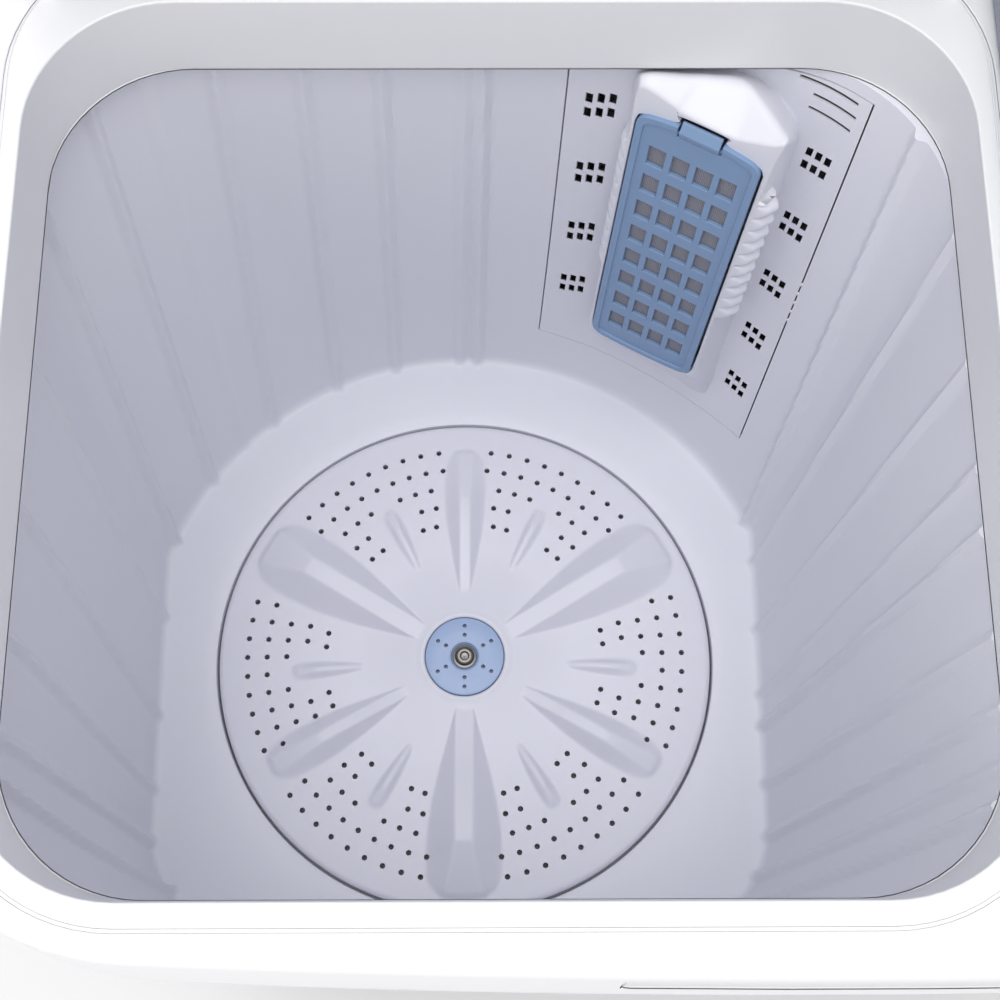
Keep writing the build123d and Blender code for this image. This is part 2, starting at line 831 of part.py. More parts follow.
def spin_basket():
    """The perforated basket: tapered wall, rolled rim, domed floor and inner ribs."""
    top = basket_top
    low = basket_floor
    dome = low + basket_dome
    wall = basket_wall
    pot = lathe([(basket_hub_radius, dome), (60.0, low + 8.0), (basket_floor_radius - 12.0, low),
                 (basket_floor_radius, low + 12.0),
                 (basket_radius - 3.0, top - 22.0), (basket_radius, top - 20.0), (basket_radius, top),
                 (basket_radius - 8.0, top),
                 (basket_radius - 8.0, top - 3.0), (basket_radius - wall, top - 3.0),
                 (basket_radius - wall, top - 18.5),
                 (basket_radius - 3.0 - wall, top - 21.0), (basket_floor_radius - wall, low + 13.0),
                 (basket_floor_radius - 12.0, low + wall), (60.0, low + 8.0 + wall),
                 (basket_hub_radius, dome + wall)],
                spin_x, spin_y)
    lean = degrees(atan2(basket_radius - basket_floor_radius - 3.0, top - low - 34.0))
    holes = []
    for row in range(basket_hole_rows):
        z = low + 40.0 + row * (top - low - 90.0) / (basket_hole_rows - 1)
        half_step = 180.0 / basket_holes_per_row * (row % 2)
        for place in ring_of(basket_holes_per_row, basket_floor_radius + 4.0, 15.0 + half_step):
            drill = extrude(RegularPolygon(basket_hole_radius, 4), amount=12.0, both=True)
            holes.append(Pos(spin_x, spin_y, z) * place * Rot(0, 90 - lean, 0) * drill)
    ribs = []
    for place in ring_of(basket_rib_count, basket_floor_radius - basket_wall - 3.0):
        rib = Pos(spin_x, spin_y, low + 20.0) * place * Rot(0, lean, 0) * Box(8.0, 5.0, top - low - 60.0,
                                                                              align=BASE)
        ribs.append(rib)
    bored = pot + ribs
    return bored - holes


def spin_hub():
    """The hub that clamps the basket's floor to the shaft."""
    dome = basket_floor + basket_dome
    return lathe([(spin_shaft_radius, dome - 24.0), (16.0, dome - 24.0), (16.0, dome - 4.0),
                  (basket_hub_radius + 8.0, dome - 8.0),
                  (basket_hub_radius + 8.0, dome - 4.5), (basket_hub_radius, dome),
                  (basket_hub_radius, dome + basket_wall),
                  (16.0, dome + 8.0), (8.0, dome + 10.0), (8.0, dome + 6.0), (spin_shaft_radius, dome + 6.0)],
                 spin_x, spin_y)


def spin_hub_bolt():
    """The bolt down into the shaft's end that holds the hub on."""
    top = basket_floor + basket_dome + 6.0
    head = Pos(spin_x, spin_y, top) * extrude(RegularPolygon(6.5, 6), amount=3.5)
    return head


def spin_shaft():
    """The shaft from the spin motor up to the basket's hub."""
    low = spin_motor_bottom + spin_motor_height - motor_bore_depth
    return disc(spin_shaft_radius, basket_floor + basket_dome + 6.0 - low, low, spin_x, spin_y)


def brake_drum():
    """The drum on the spin shaft that the brake presses on, cast with webs."""
    low = drum_z
    high = low + drum_height
    drum = lathe([(spin_shaft_radius, low), (14.0, low), (14.0, low + 9.0), (drum_radius - 4.0, low + 9.0),
                  (drum_radius - 4.0, low),
                  (drum_radius, low), (drum_radius, high), (drum_radius - 4.0, high),
                  (drum_radius - 4.0, low + 13.0),
                  (16.0, low + 13.0), (16.0, high + 4.0), (spin_shaft_radius, high + 4.0)], spin_x, spin_y)
    return drum


def brake_lever():
    """The lever with its lined shoe beside the brake drum."""
    low = drum_z + 6.0
    arm = block(spin_x + brake_reach, spin_x + brake_reach + 10.0, spin_y - 30.0, brake_pivot_y + 12.0, low,
                low + 5.0)
    eye = disc(8.0, 12.0, low - 2.0, brake_pivot_x, brake_pivot_y)
    shoe = disc(drum_radius + brake_gap + 7.0, 12.0, low - 2.0, spin_x, spin_y)
    shoe -= disc(drum_radius + brake_gap, 12.0, low - 2.0, spin_x, spin_y)
    shoe &= block(spin_x + 10.0, spin_x + 80.0, spin_y + shoe_front, spin_y + shoe_back, low - 5.0, low + 20.0)
    body = arm + eye + shoe
    return body - disc(brake_pin_radius + shaft_clearance, 30.0, low - 8.0, brake_pivot_x, brake_pivot_y)


def spin_motor():
    """The spin motor: a finned drum with end bells, three feet and the brake's pivot pin on top."""
    low = spin_motor_bottom
    high = low + spin_motor_height
    radius = spin_motor_radius
    body = lathe([(0, low), (radius - 20.0, low), (radius - 6.0, low + 12.0), (radius, low + 18.0),
                  (radius, high - 18.0),
                  (radius - 6.0, high - 12.0), (radius - 22.0, high), (0, high)], spin_x, spin_y)
    fins = [Pos(spin_x, spin_y, low + 24.0) * place * Box(4.0, 3.0, spin_motor_height - 48.0, align=BASE)
            for place in ring_of(12, radius + 1.0, 15.0)]
    body += fins
    body -= disc(spin_shaft_radius + shaft_clearance, motor_bore_depth + 1.0, high - motor_bore_depth, spin_x,
                 spin_y)
    for x, y in spin_mount_places():
        body += disc(13.0, 13.0, low - 5.0, x, y) + disc(6.0, mount_stud, low - 5.0 - mount_stud, x, y)
    boss_top = drum_z + 4.0 - running_gap
    body += disc(7.0, boss_top - high + 24.0, high - 24.0, brake_pivot_x, brake_pivot_y)
    body += disc(brake_pin_radius, 13.0 + running_gap, boss_top, brake_pivot_x, brake_pivot_y)
    return body


def motor_damper_sleeves():
    """Three ribbed rubber sleeves round the motor's springs, on the base's posts."""
    sleeves = []
    step = (spin_motor_bottom - 5.0 - mount_seat_z) / 3
    for x, y in spin_mount_places():
        outline = [(7.0, mount_seat_z)]
        for i in range(3):
            z = mount_seat_z + i * step
            outline += [(15.0, z), (11.0, z + step / 2)]
        outline += [(15.0, spin_motor_bottom - 5.0), (7.0, spin_motor_bottom - 5.0)]
        sleeves.append(lathe(outline, x, y))
    return sleeves


def fin(start, crest, end, width, ridge, height, angle):
    """A pulsator fin: a flat ridge between sloping sides, highest at its crest, with a long facet at its outer end."""
    shoulder = crest + (end - crest) * 0.48
    stations = [start, (start + crest) / 2, crest, shoulder, end]
    widths = [0.32, 0.68, 0.96, 1.0, 0.55]
    ridges = [0.73, 1.0, 1.0, 1.64, 1.6]
    heights = [0.12, 0.78, 1.0, 0.62, 0.08]
    sections = []
    for radius, base_share, ridge_share, rise_share in zip(stations, widths, ridges, heights):
        half = width / 2 * base_share
        top = min(ridge / 2 * ridge_share, half - 0.5)
        plane = Plane(origin=(radius, 0, rim_z), x_dir=(0, 1, 0), z_dir=(1, 0, 0))
        outline = Polyline((-half, -pulsator_wall / 2), (half, -pulsator_wall / 2),
                           (top, height * rise_share),
                           (-top, height * rise_share), close=True)
        sections.append(plane * make_face(outline))
    return Rot(0, 0, angle) * loft(sections, ruled=True)


def drain_holes():
    """The pulsator's drain holes: five arcs in each of six sectors, left open where the fins and ribs are."""
    drill = extrude(RegularPolygon(drain_hole_radius, 4), amount=30.0, both=True)
    holes = []
    for row in range(5):
        radius = drain_row_radius - drain_row_pitch * row
        inner = min(2, max(0, row - 1))
        outer = 4 if row < 2 else 3
        for sector in range(6):
            for step in range(-outer, outer + 1):
                if abs(step) >= inner:
                    angle = 60.0 * sector + drain_step * step
                    holes.append(Rot(0, 0, angle) * Pos(radius, 0, rim_z) * drill)
    return holes


def pulsator():
    """The pulsator: a dished disc with a rim, three big fins, three middle fins, small ribs and drain holes."""
    low = rim_z - rim_depth
    outer = pulsator_radius
    wall = pulsator_wall
    shell = lathe([(wash_shaft_radius, low + 2.0), (hub_radius, low + 2.0), (hub_radius, rim_z - wall),
                   (outer - wall - 6.0, rim_z - wall),
                   (outer - wall, rim_z - wall - 3.0), (outer - wall, low), (outer, low),
                   (outer, rim_z - 3.0), (outer - 3.0, rim_z),
                   (cap_ring_radius + 20.0, rim_z), (cap_ring_radius + 5.0, cap_seat_z),
                   (cap_ring_radius, cap_seat_z + 1.0),
                   (cap_radius + 0.3, cap_seat_z), (cap_radius + 0.3, cap_seat_z - 5.0),
                   (wash_shaft_radius, cap_seat_z - 5.0)])
    fins = []
    for i in range(3):
        fins.append(fin(big_fin_start, big_fin_crest, big_fin_end, big_fin_width, big_ridge_width,
                        big_fin_height,
                        30.0 + 120.0 * i))
        fins.append(fin(middle_fin_start, middle_fin_crest, middle_fin_end, middle_fin_width,
                        middle_ridge_width,
                        middle_fin_height, 90.0 + 120.0 * i))
    for i in range(6):
        fins.append(fin(small_rib_start, small_rib_crest, small_rib_end, small_rib_width, small_rib_width / 2,
                        small_rib_height, 60.0 * i))
    vane = block(hub_radius - 1.0, outer - wall - 1.0, -1.5, 1.5, low + 3.0, rim_z - wall + 0.5)
    vanes = [Rot(0, 0, 30.0 + 60.0 * i) * vane for i in range(6)]
    body = shell + fins + vanes
    body -= drain_holes()
    return Pos(pulsator_x, pulsator_y, 0) * body


def pulsator_cap():
    """The cap over the pulsator's fixing, with two rings of small holes and a seat for the screw."""
    low = cap_seat_z - 5.0
    top = cap_seat_z + 1.5
    cap = lathe([(cap_screw_radius, low), (cap_radius, low), (cap_radius, top - 1.5), (cap_radius - 1.5, top),
                 (8.2, top),
                 (8.2, cap_seat_z - 1.0), (cap_screw_radius, cap_seat_z - 1.0)])
    holes = []
    drill = Pos(0, 0, low - 1.0) * extrude(RegularPolygon(1.5, 4), amount=20.0)
    for radius in (18.8, 13.1):
        holes += [place * drill for place in ring_of(6, radius, 30.0)]
    return Pos(pulsator_x, pulsator_y, 0) * (cap - holes)


def pulsator_screw():
    """The screw with its washer that holds the pulsator on the wash shaft."""
    seat = cap_seat_z - 1.0
    head = lathe([(0, seat), (7.4, seat), (7.4, seat + 1.2), (5.4, seat + 4.0), (3.0, seat + 4.0),
                  (3.0, seat + 2.0),
                  (0, seat + 2.0)], pulsator_x, pulsator_y)
    stem = disc(cap_screw_radius, seat - shaft_top_z, shaft_top_z, pulsator_x, pulsator_y)
    return head + stem


def wash_shaft():
    """The output shaft of the gearbox, up through the seal to the pulsator."""
    low = gearbox_top - 18.0
    return disc(wash_shaft_radius, shaft_top_z - low, low, pulsator_x, pulsator_y)


def tub_seal():
    """The rubber seal in the hub of the tub floor, lipped against the shaft."""
    inner = wash_shaft_radius + shaft_clearance
    return lathe([(inner, gearbox_top + 3.0), (seal_radius, gearbox_top + 3.0),
                  (seal_radius, recess_floor_z - 1.0),
                  (inner + 5.0, recess_floor_z - 1.0), (inner + 2.0, recess_floor_z + 1.0),
                  (inner, recess_floor_z + 1.0)],
                 pulsator_x, pulsator_y)


def gearbox():
    """The reduction gearbox: a round cast case with a bolting flange, ears and a neck for the input shaft."""
    top = gearbox_top
    low = top - gearbox_height
    case = lathe([(wash_shaft_radius + shaft_clearance, top), (gearbox_radius + 4.0, top),
                  (gearbox_radius + 4.0, top - 6.0),
                  (gearbox_radius, top - 6.0), (gearbox_radius, top - 30.0),
                  (gearbox_radius - 6.0, low + 6.0),
                  (20.0, low), (16.0, low - 12.0), (input_shaft_radius + shaft_clearance, low - 12.0),
                  (input_shaft_radius + shaft_clearance, low + 12.0),
                  (wash_shaft_radius + shaft_clearance, top - 20.0)],
                 pulsator_x, pulsator_y)
    ears = []
    for place in ring_of(4, ear_circle, 45.0):
        ear = block(-18.0, 0.0, -9.0, 9.0, top - 6.0, top) + disc(9.0, 6.0, top - 6.0)
        ears.append(Pos(pulsator_x, pulsator_y, 0) * place * ear)
    ribs = [Pos(pulsator_x, pulsator_y, 0) * place * block(-5.0, 2.5, -1.5, 1.5, low + 14.0, top - 5.0)
            for place in ring_of(8, gearbox_radius, 22.5)]
    return case + ears + ribs


def gearbox_posts():
    """The tub's four posts that the gearbox ears are bolted to."""
    low = gearbox_top
    high = recess_floor_z - tub_wall + 0.5
    return [Pos(pulsator_x, pulsator_y, 0) * place * disc(8.0, high - low, low)
            for place in ring_of(4, ear_circle, 45.0)]


def input_shaft():
    """The short shaft from the big pulley into the gearbox."""
    low = pulley_z - 12.0
    return disc(input_shaft_radius, gearbox_top - gearbox_height + 10.0 - low, low, pulsator_x, pulsator_y)


def pulley(radius, bore, holes, x, y):
    """A grooved pulley with a hub, and a web that is pierced on the larger one."""
    low = pulley_z
    high = low + pulley_height
    middle = (low + high) / 2
    groove = radius - groove_reach
    half = belt_width / 2 + running_gap
    hub = bore + 6.0
    if holes:
        section = [(bore, low - 4.0), (hub, low - 4.0), (hub, middle - 2.5), (groove - 5.0, middle - 2.5),
                   (groove - 5.0, low),
                   (radius, low), (groove, middle - half), (groove, middle + half), (radius, high),
                   (groove - 5.0, high), (groove - 5.0, middle + 2.5), (hub, middle + 2.5), (hub, high + 2.0),
                   (bore, high + 2.0)]
    else:
        section = [(bore, low), (radius, low), (groove, middle - half), (groove, middle + half),
                   (radius, high), (bore, high)]
    wheel = lathe(section)
    if holes:
        reach = (hub + groove) / 2
        window = Pos(0, 0, low - 10.0) * extrude(RegularPolygon(13.0, 4), amount=40.0)
        windows = [place * window for place in ring_of(holes, reach)]
        wheel -= windows
    return Pos(x, y, 0) * wheel


def big_pulley():
    """The driven pulley under the gearbox."""
    return pulley(big_pulley_radius, input_shaft_radius, 6, pulsator_x, pulsator_y)


def motor_pulley():
    """The driving pulley on the wash motor."""
    return pulley(small_pulley_radius, motor_shaft_radius, 0, wash_motor_x, wash_motor_y)


def wash_motor_shaft():
    """The wash motor's shaft, from its bore up through the pulley."""
    low = wash_motor_bottom + wash_motor_height - motor_bore_depth
    return disc(motor_shaft_radius, pulley_z + pulley_height + 4.0 - low, low, wash_motor_x, wash_motor_y)


def belt_loop(outset):
    """The outline round both pulleys at a given height above their groove floors: two arcs and two tangents."""
    big = big_pulley_radius - groove_reach + outset
    small = small_pulley_radius - groove_reach + outset
    across = hypot(wash_motor_x - pulsator_x, wash_motor_y - pulsator_y)
    heading = degrees(atan2(wash_motor_y - pulsator_y, wash_motor_x - pulsator_x))
    wrap = acos((big - small) / across)
    upper_big = (big * cos(wrap), big * sin(wrap))
    upper_small = (across + small * cos(wrap), small * sin(wrap))
    lower_big = (upper_big[0], -upper_big[1])
    lower_small = (upper_small[0], -upper_small[1])
    edges = Line(upper_big, upper_small) + ThreePointArc(upper_small, (across + small, 0), lower_small)
    edges += Line(lower_small, lower_big) + ThreePointArc(lower_big, (-big, 0), upper_big)
    return Pos(pulsator_x, pulsator_y, 0) * Rot(0, 0, heading) * make_face(edges)


def drive_belt():
    """The belt round both pulleys, riding just above the groove floors."""
    low = pulley_z + (pulley_height - belt_width) / 2
    loop = belt_loop(running_gap + belt_thickness) - belt_loop(running_gap)
    return Pos(0, 0, low) * extrude(loop, amount=belt_width)


def wash_motor():
    """The wash motor: end bells, cooling fins and four feet that stand on the bracket."""
    low = wash_motor_bottom
    high = low + wash_motor_height
    radius = wash_motor_radius
    body = lathe([(0, low), (radius - 18.0, low), (radius - 4.0, low + 10.0), (radius, low + 16.0),
                  (radius, high - 16.0),
                  (radius - 4.0, high - 10.0), (radius - 20.0, high), (0, high)], wash_motor_x, wash_motor_y)
    body += [Pos(wash_motor_x, wash_motor_y, low + 22.0) * place * Box(4.0, 3.0, wash_motor_height - 44.0,
                                                                       align=BASE)
             for place in ring_of(12, radius + 1.0, 15.0)]
    for place in ring_of(4, radius - 4.0, 45.0):
        body += Pos(wash_motor_x, wash_motor_y, low) * place * Box(18.0, 16.0, 12.0, align=BASE)
    return body - disc(motor_shaft_radius + shaft_clearance, motor_bore_depth + 1.0, high - motor_bore_depth,
                       wash_motor_x, wash_motor_y)


def wash_motor_bracket():
    """The folded steel bracket that carries the wash motor above the base."""
    half = wash_motor_radius + bracket_margin
    low = base_pad_z
    high = wash_motor_bottom
    sheet = bracket_sheet
    top = block(wash_motor_x - half, wash_motor_x + half, wash_motor_y - half, wash_motor_y + half,
                high - sheet, high)
    top -= disc(wash_motor_radius - 22.0, 20.0, high - 10.0, wash_motor_x, wash_motor_y)
    body = top
    for side in (-1, 1):
        x = wash_motor_x + side * (half - sheet / 2)
        leg = block(x - sheet / 2, x + sheet / 2, wash_motor_y - half, wash_motor_y + half, low, high)
        leg -= block(x - 9.0, x + 9.0, wash_motor_y - half + 24.0, wash_motor_y + half - 24.0, low + 22.0,
                     high - 24.0)
        foot_x = x + side * 14.0
        body += leg
        body += block(min(x, foot_x), max(x, foot_x), wash_motor_y - half, wash_motor_y + half, low,
                      low + sheet)
    return body


def capacitors():
    """The two motor capacitors, standing on the base."""
    low = base_floor
    high = base_floor + capacitor_height
    radius = capacitor_radius
    can = [(0, low), (radius, low), (radius, high), (6.0, high), (6.0, high + 8.0), (0, high + 8.0)]
    return [lathe(can, x, capacitor_y) for x in (capacitor_left, capacitor_right)]


def capacitor_clips():
    """The steel rings that hold the capacitors, each on a strap up from the base."""
    clips = []
    for x in (capacitor_left, capacitor_right):
        ring = disc(capacitor_radius + 2.0, 12.0, base_floor + 40.0, x, capacitor_y)
        strap = block(x - 6.0, x + 6.0, capacitor_y + capacitor_radius, capacitor_y + capacitor_radius + 2.0,
                      base_floor, base_floor + 46.0)
        foot = block(x - 6.0, x + 6.0, capacitor_y + capacitor_radius, capacitor_y + capacitor_radius + 14.0,
                     base_floor, base_floor + 2.0)
        clips.append(ring + strap + foot - disc(capacitor_radius + 0.05, 90.0, base_floor - 1.0, x,
                                                capacitor_y))
    return clips


def drain_duct():
    """The flat duct from under the pulsator back to the drain valve."""
    low = duct_low
    high = recess_floor_z - tub_wall
    half = drain_port_radius + 3.0
    outer = block(drain_x - half, drain_x + half, drain_y - half, valve_y - valve_radius + 2.0, low, high)
    inner = block(drain_x - half + 2.0, drain_x + half - 2.0, drain_y - half + 2.0, valve_y, low + 2.0,
                  high - 2.0)
    mouth = disc(drain_port_radius, 10.0, high - 5.0, drain_x, drain_y)
    seat = disc(valve_radius, 200.0, low - 50.0, valve_x, valve_y)
    return outer - inner - mouth - seat


def drain_valve():
    """The drain valve's case: an upright cup with an inlet, a cap with a guide and an outlet spout at its foot."""
    low = valve_low
    high = valve_high
    wall = 2.5
    cup = disc(valve_radius, high - low, low, valve_x, valve_y) - disc(valve_radius - wall, high - low - 2
                                                                       * wall, low + wall, valve_x, valve_y)
    cup -= block(valve_x - 11.0, valve_x + 11.0, valve_y - valve_radius - 5.0, valve_y - 5.0, duct_low + 4.0,
                 recess_floor_z - tub_wall - 4.0)
    cup -= disc(rod_radius + shaft_clearance, 20.0, high - 10.0, valve_x, valve_y)
    left = Pos(valve_x, valve_y, hose_z) * Rot(0, -90, 0)
    right = Pos(valve_x, valve_y, hose_z) * Rot(0, 90, 0)
    spout = left * Cylinder(hose_bore - 0.05, valve_radius + 20.0, align=BASE)
    spout += right * Cylinder(spin_pipe_bore - 0.05, valve_radius + 16.0, align=BASE)
    spout -= disc(valve_radius - wall, high - low - 2 * wall, low + wall, valve_x, valve_y)
    bore = left * Cylinder(hose_bore - 2.0, 60.0, align=BASE) + right * Cylinder(spin_pipe_bore - 2.0, 60.0,
                                                                                 align=BASE)
    seat = disc(valve_radius - 1.0, 3.0, duct_low - 6.0, valve_x, valve_y) - disc(valve_seat_radius, 10.0,
                                                                                  duct_low - 10.0, valve_x,
                                                                                  valve_y)
    return cup + seat + spout - bore


def drain_plunger():
    """The rubber bung that closes the drain, with a soft flange."""
    low = plunger_z
    return lathe([(0, low), (valve_seat_radius + 3.0, low), (valve_seat_radius + 3.0, low + 3.0),
                  (8.0, low + 5.0), (6.0, low + 12.0),
                  (0, low + 12.0)], valve_x, valve_y)


def drain_pull_rod():
    """The rod from the bung up into the console, with a slotted yoke at its top."""
    low = plunger_z + 12.0
    yoke_z = crank_z
    rod = disc(rod_radius, yoke_z - 7.0 - low, low, valve_x, valve_y)
    yoke = block(valve_x - 15.0, valve_x + 15.0, valve_y - 2.0, valve_y + 2.0, yoke_z - 9.0, yoke_z + 9.0)
    yoke -= block(valve_x - 11.5, valve_x + 11.5, valve_y - 5.0, valve_y + 5.0, yoke_z - 5.5, yoke_z + 5.5)
    return rod + yoke


def tube(points, outer, bore):
    """A pipe along a path with rounded bends."""
    runs = [(Vector(*q) - Vector(*p)) for p, q in zip(points, points[1:])]
    radii = []
    for before, after in zip(runs, runs[1:]):
        turn = radians(before.get_angle(after))
        radii.append(0.42 * min(before.length, after.length) / tan(turn / 2))
    path = FilletPolyline(*points, radius=radii)
    plane = Plane(origin=points[0], z_dir=runs[0])
    return sweep(plane * (Circle(outer) - Circle(bore)), path=path)


def drain_hose():
    """The hose inside the cabinet, from the drain valve to the outlet spigot low at the back."""
    start = valve_x - valve_radius - 1.0
    end = cabinet_back - shell_wall - 4.0
    points = [(start, valve_y, hose_z), (start - 90.0, valve_y, hose_z),
              (start - 160.0, valve_y - 60.0, hose_z - 80.0),
              (outlet_x, end - 80.0, outlet_z), (outlet_x, end, outlet_z)]
    return tube(points, hose_outer, hose_bore)


def spin_drain_pipe():
    """The pipe from the spin tub's floor down and back to the drain valve."""
    x = spin_x - spin_port_left
    y = spin_y + spin_port_left
    points = [(x, y, spin_tub_floor), (x, y, hose_z), (x - 60.0, valve_y, hose_z),
              (valve_x + valve_radius + 1.0, valve_y, hose_z)]
    return tube(points, spin_pipe_outer, spin_pipe_bore)


def outlet_spigot():
    """The outlet low at the back, that a drain pipe pushes on to, with a flange inside the wall and a shoulder."""
    wall = outlet_tail - shell_wall
    bore = hose_bore - 2.5
    tail = hose_bore - 0.05
    flange = outlet_radius + 4.0
    shoulder = outlet_radius + shoulder_step
    stop = outlet_tail + shoulder_proud
    end = outlet_tail + spigot_length
    body = lathe([(bore, 0), (tail, 0), (tail, wall - 3.0), (flange, wall - 3.0), (flange, wall),
                  (shoulder, wall),
                  (shoulder, stop), (outlet_radius, stop), (outlet_radius, end), (bore, end)])
    return Pos(outlet_x, cabinet_back - outlet_tail, outlet_z) * Rot(-90, 0, 0) * body


def fall_mouth(x, wall_y):
    """The cut through a tub's back wall where the fill water comes in."""
    return block(x - 10.0, x + 10.0, wall_y - 45.0, wall_y + 12.0, deck_underside - 26.0, deck_underside
                 - 10.0)


def fill_chutes():
    """The two troughs under the deck that lead the fill water from the falls to the tubs."""
    low = deck_underside - 28.0
    high = deck_underside - tub_wall - 1.0
    back = fall_y + fall_radius + 5.0
    chutes = []
    for x, front in ((wash_fall_x, wash_y + tub_back + tub_wall + running_gap),
                     (spin_fall_x, spin_y + spin_tub_radius - 30.0)):
        trough = block(x - 12.0, x + 12.0, front, back, low, high)
        trough -= block(x - 10.0, x + 10.0, front - 5.0, back - 2.0, low + 2.0, high - 2.0)
        trough -= disc(fall_radius + 0.1, 20.0, high - 10.0, x, fall_y)
        chutes.append(trough - disc(spin_tub_radius + tub_wall + running_gap, 60.0, low - 10.0, spin_x,
                                    spin_y))
    return chutes


def filter_place():
    """The filter's own frame: across, up and out of the wall, from the middle of its lower edge."""
    across = Vector(cos(radians(filter_azimuth)), sin(radians(filter_azimuth)), 0)
    back = Vector(-sin(radians(filter_azimuth)), cos(radians(filter_azimuth)), 0)
    up = Vector(0, 0, cos(radians(filter_lean))) + back * sin(radians(filter_lean))
    return Plane(origin=(filter_x, filter_y, filter_z), x_dir=across, z_dir=across.cross(up))


def panel_outline(grow):
    """The filter panel's outline, grown outwards: straight slanting sides and a bowed lower edge."""
    top = panel_top + grow
    low = panel_bottom - grow
    left = panel_left - grow
    right = panel_foot_right + grow
    sides = Polyline((right, low), (panel_head_right + grow, top), (left, top), (left, low))
    foot = ThreePointArc((left, low), ((left + right) / 2, low - panel_bow), (right, low))
    return make_face(sides + foot)


def filter_panel():
    """The panel in the corner of the tub: curved plate, raised filter housing, louvres, holes and overflow slots."""
    place = filter_place()
    cavity = tub_form(-panel_gap)
    skin = cavity - tub_form(-panel_gap - panel_thickness)
    plate = skin & (place * extrude(panel_outline(0.0), amount=120.0, both=True))
    half = housing_half
    top = mouth_top
    back = -90.0
    foot = -mouth_foot - housing_wall
    housing = side_profile([(foot, back), (foot, -4.0), (-mouth_foot, -1.0), (top + 12.0, -1.0),
                            (top + roof_rise, -16.0),
                            (top + roof_rise, back)], -half, half)
    housing += louvres(half)
    housing = (place * housing) & cavity
    housing -= block(-500, 500, -500, 500, collar_z, deck_height)
    hollow = place * block(-mouth_half, mouth_half, -mouth_foot, top, -90.0, 5.0)
    body = plate + (housing - (hollow & tub_form(-panel_gap - panel_thickness)))
    for side in (-1, 1):
        ledge = block(mouth_half - 3.0, mouth_half + 1.0, 22.0, top - 20.0, -7.0, -filter_thickness - 0.35)
        body += place * (ledge if side > 0 else mirror(ledge, Plane.YZ))
    body -= [place * cut for cut in panel_cuts()]
    bore = Cylinder(filter_pin_radius + shaft_clearance, 2 * mouth_half + 5.0)
    body -= place * (Pos(0, hinge_up, hinge_in) * Rot(0, 90, 0) * bore)
    return largest(body)


def largest(shape):
    """The main solid of a shape, without crumbs left by trimming."""
    return Part() + shape.solids().sort_by(SortBy.VOLUME)[-1]


def louvres(half):
    """The slanted fins down both sides of the filter housing."""
    fins = []
    for i in range(louvre_count):
        y = louvre_first + i * louvre_pitch
        for side in (-1, 1):
            blade = Pos(side * (half + 1.0), y, -9.0) * Rot(28.0, 0, 0) * Box(4.0, 4.0, 15.0)
            fins.append(blade)
    return fins


def panel_cuts():
    """The panel's clusters of small square holes, and the overflow slots near its top."""
    cuts = []
    for i in range(5):
        cuts += hole_cluster(cluster_right_x + cluster_drift * i, cluster_right_y - cluster_pitch * i)
    for i in range(4):
        cuts += hole_cluster(cluster_left_x, cluster_left_y - cluster_left_pitch * i)
    for i in range(3):
        length = slot_length if i == 0 else slot_length - 6.0
        centre = slot_x if i == 0 else slot_x + 4.0
        slot = Pos(centre, slot_y - slot_pitch * i, -40.0) * Rot(0, 0, -8.0) * Box(length, 3.0, 40.0)
        cuts.append(slot)
    return cuts


def hole_cluster(x, y):
    """Three by two small square holes."""
    cuts = []
    for column in (-1, 0, 1):
        for row in (-1, 0):
            cuts.append(Pos(x + column * 5.0, y + row * 6.0 + 3.0, -25.0) * Box(3.4, 4.4, 60.0))
    return cuts


def frame_outline(inset):
    """The filter frame's outline, drawn in all round: straight sides, and a head and foot that bow outwards."""
    half = filter_width / 2 - inset
    low = inset
    high = filter_height - inset
    edges = ThreePointArc((half, high - head_bow), (0, high), (-half, high - head_bow))
    edges += Line((-half, high - head_bow), (-half, low + foot_bow))
    edges += ThreePointArc((-half, low + foot_bow), (0, low), (half, low + foot_bow))
    edges += Line((half, low + foot_bow), (half, high - head_bow))
    face = make_face(edges)
    return fillet(face.vertices(), filter_corner - inset)


def filter_frame():
    """The lift-out filter frame: rounded plate, raised border, window lattice, hinge ears and a latch notch."""
    half = filter_width / 2
    outline = frame_outline(0.0)
    border = outline - frame_outline(border_width)
    body = extrude(outline, amount=filter_thickness, dir=(0, 0, -1)) + extrude(border, amount=filter_border)
    for column in range(window_columns):
        for row in range(window_rows):
            x = (column - (window_columns - 1) / 2) * window_pitch_across
            y = filter_height - window_head - row * window_pitch_up
            body -= Pos(x, y, 0) * Box(window_width, window_height, 20.0)
    body -= Pos(0, filter_height, 0) * Box(latch_width + 2.0, 2 * latch_length, 20.0)
    body -= latch_pins(latch_pin_radius + shaft_clearance, 0.2)
    for side in (-1, 1):
        ear = block(half - 4.0, half, hinge_up - 3.5, hinge_up + 3.5, hinge_in - 3.5, -filter_thickness + 0.5)
        pin = Pos(half - 2.0, hinge_up, hinge_in) * Rot(0, 90, 0) * Cylinder(filter_pin_radius,
                                                                             mouth_gap + 4.0, align=BASE)
        body += ear + pin if side > 0 else mirror(ear + pin, Plane.YZ)
    return filter_place() * body


def latch_pins(radius, extra):
    """The latch's pivot stubs, as one bar across the notch in the frame."""
    length = latch_width + 2.0 + 2 * (2.0 + extra)
    return Pos(0, filter_height - latch_length + 2.5, -filter_thickness / 2) * Rot(0, 90,
                                                                                   0) * Cylinder(radius,
                                                                                                 length)


def filter_mesh():
    """The fine lint net behind the frame's windows, as a thin sheet."""
    half = mouth_half - 4.0
    low = hinge_up + 5.0
    high = filter_height - latch_length - 2.0
    return filter_place() * block(-half, half, low, high, -filter_thickness - mesh_thickness,
                                  -filter_thickness)


